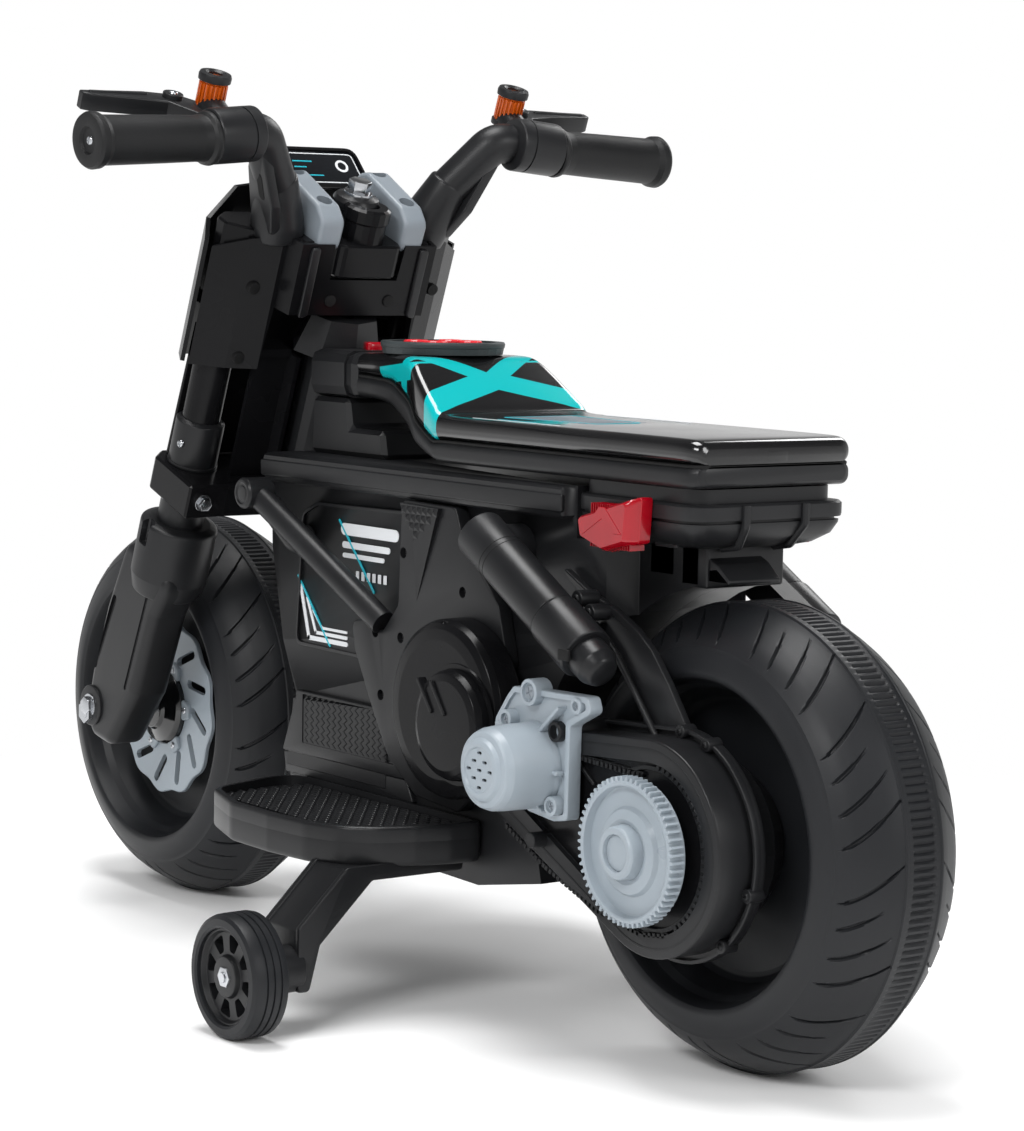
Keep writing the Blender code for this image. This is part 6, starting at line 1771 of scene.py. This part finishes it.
# Stage
def build_stage():
    """A pale floor, lit near the object and fading into plain white farther out."""
    mesh = bpy.data.meshes.new("studio_floor")
    mesh.from_pydata([(-8, -8, 0), (8, -8, 0), (8, 8, 0), (-8, 8, 0)], [], [(0, 1, 2, 3)])
    floor = bpy.data.objects.new("studio_floor", mesh)
    bpy.context.scene.collection.objects.link(floor)
    material = bpy.data.materials.new("pale_studio_floor")
    material.use_nodes = True
    tree = material.node_tree
    shader = tree.nodes["Principled BSDF"]
    shader.inputs["Base Color"].default_value = (0.95, 0.95, 0.95, 1.0)
    shader.inputs["Roughness"].default_value = 0.9
    shader.inputs["Specular IOR Level"].default_value = 0.0
    place = tree.nodes.new("ShaderNodeTexCoord").outputs["Object"]
    distance = tree.nodes.new("ShaderNodeVectorMath")
    distance.operation = "LENGTH"
    link(tree, place, distance.inputs[0])
    far = ramp(tree, distance.outputs["Value"], 0.55, 0.95, 0.0, 1.0)
    white = tree.nodes.new("ShaderNodeEmission")
    white.inputs["Strength"].default_value = 1.0
    rays = tree.nodes.new("ShaderNodeLightPath")
    seen = maths(
        tree, "MAXIMUM", rays.outputs["Is Camera Ray"],
        maths(tree, "MAXIMUM", rays.outputs["Is Glossy Ray"], rays.outputs["Is Transmission Ray"]),
    )
    mix = tree.nodes.new("ShaderNodeMixShader")
    link(tree, maths(tree, "MULTIPLY", far, seen), mix.inputs[0])
    link(tree, shader.outputs[0], mix.inputs[1])
    link(tree, white.outputs[0], mix.inputs[2])
    link(tree, mix.outputs[0], tree.nodes["Material Output"].inputs["Surface"])
    mesh.materials.append(material)


def lamp(name, place, aim, size, power):
    """A soft box."""
    data = bpy.data.lights.new(name, "AREA")
    data.shape = "RECTANGLE"
    data.size, data.size_y = size
    data.energy = power
    obj = bpy.data.objects.new(name, data)
    bpy.context.scene.collection.objects.link(obj)
    obj.location = place
    obj.rotation_euler = (Vector(aim) - Vector(place)).to_track_quat("-Z", "Y").to_euler()


def build_lights():
    """White for the camera, a darker graded room for glossy rays, and soft boxes."""
    world = bpy.data.worlds.new("studio")
    world.use_nodes = True
    bpy.context.scene.world = world
    tree = world.node_tree
    light = tree.nodes["Background"]
    light.inputs["Color"].default_value = (1.0, 1.0, 1.0, 1.0)
    light.inputs["Strength"].default_value = 0.62
    heading = tree.nodes.new("ShaderNodeSeparateXYZ")
    link(tree, tree.nodes.new("ShaderNodeNewGeometry").outputs["Incoming"], heading.inputs[0])
    room = tree.nodes.new("ShaderNodeBackground")
    link(tree, ramp(tree, heading.outputs["Z"], -0.55, 0.05, 0.1, 0.8), room.inputs["Strength"])
    bright = tree.nodes.new("ShaderNodeBackground")
    bright.inputs["Strength"].default_value = 1.0
    for node in (room, bright):
        node.inputs["Color"].default_value = (1.0, 1.0, 1.0, 1.0)
    rays = tree.nodes.new("ShaderNodeLightPath")
    result = light
    for seen, shader in (
        (rays.outputs["Is Glossy Ray"], room),
        (
            maths(
                tree, "MAXIMUM", rays.outputs["Is Camera Ray"], rays.outputs["Is Transmission Ray"]
            ),
            bright,
        ),
    ):
        mix = tree.nodes.new("ShaderNodeMixShader")
        link(tree, seen, mix.inputs[0])
        link(tree, result.outputs[0], mix.inputs[1])
        link(tree, shader.outputs[0], mix.inputs[2])
        result = mix
    link(tree, result.outputs[0], tree.nodes["World Output"].inputs["Surface"])
    lamp("key_box", (-1.2, 2.2, 2.0), (0, 0, 0.25), (1.0, 0.7), 34)
    lamp("top_box", (0.1, 0.2, 2.6), (0, 0, 0.2), (1.4, 0.9), 44)
    lamp("rear_box", (-2.6, -0.4, 1.4), (-0.2, 0, 0.25), (0.7, 0.9), 16)
    lamp("far_box", (0.8, -2.2, 1.8), (0, 0, 0.3), (1.2, 0.9), 20)


PHOTO_HEIGHT = 1131
FOCAL = 3220.86  # in the photo's pixels
HORIZON_ROW = 583.23
SENSOR = 36.0
CAMERA_AT = (-1.7396, 1.2423, 0.4845)
HEADING, PITCH, ROLL = math.radians(-36.5887), math.radians(-5.98), 0.0182


def build_camera():
    """The photograph's own view, from behind on the left."""
    level = math.cos(PITCH)
    ahead = Vector((level * math.cos(HEADING), level * math.sin(HEADING), math.sin(PITCH)))
    right = Vector((math.sin(HEADING), -math.cos(HEADING), 0.0))
    up = right.cross(ahead)
    turned_right = right * math.cos(ROLL) + up * math.sin(ROLL)
    turned_up = up * math.cos(ROLL) - right * math.sin(ROLL)
    data = bpy.data.cameras.new("camera")
    data.sensor_fit = "AUTO"
    data.sensor_width = SENSOR
    data.lens = FOCAL * SENSOR / PHOTO_HEIGHT
    data.shift_y = (HORIZON_ROW - PHOTO_HEIGHT / 2) / PHOTO_HEIGHT
    camera = bpy.data.objects.new("camera", data)
    bpy.context.scene.collection.objects.link(camera)
    basis = Matrix((turned_right, turned_up, -ahead)).transposed().to_4x4()
    camera.matrix_world = Matrix.Translation(CAMERA_AT) @ basis
    data.clip_end = 50.0
    bpy.context.scene.camera = camera


build_stage()
build_lights()
build_camera()
bpy.context.scene.view_settings.view_transform = "Standard"
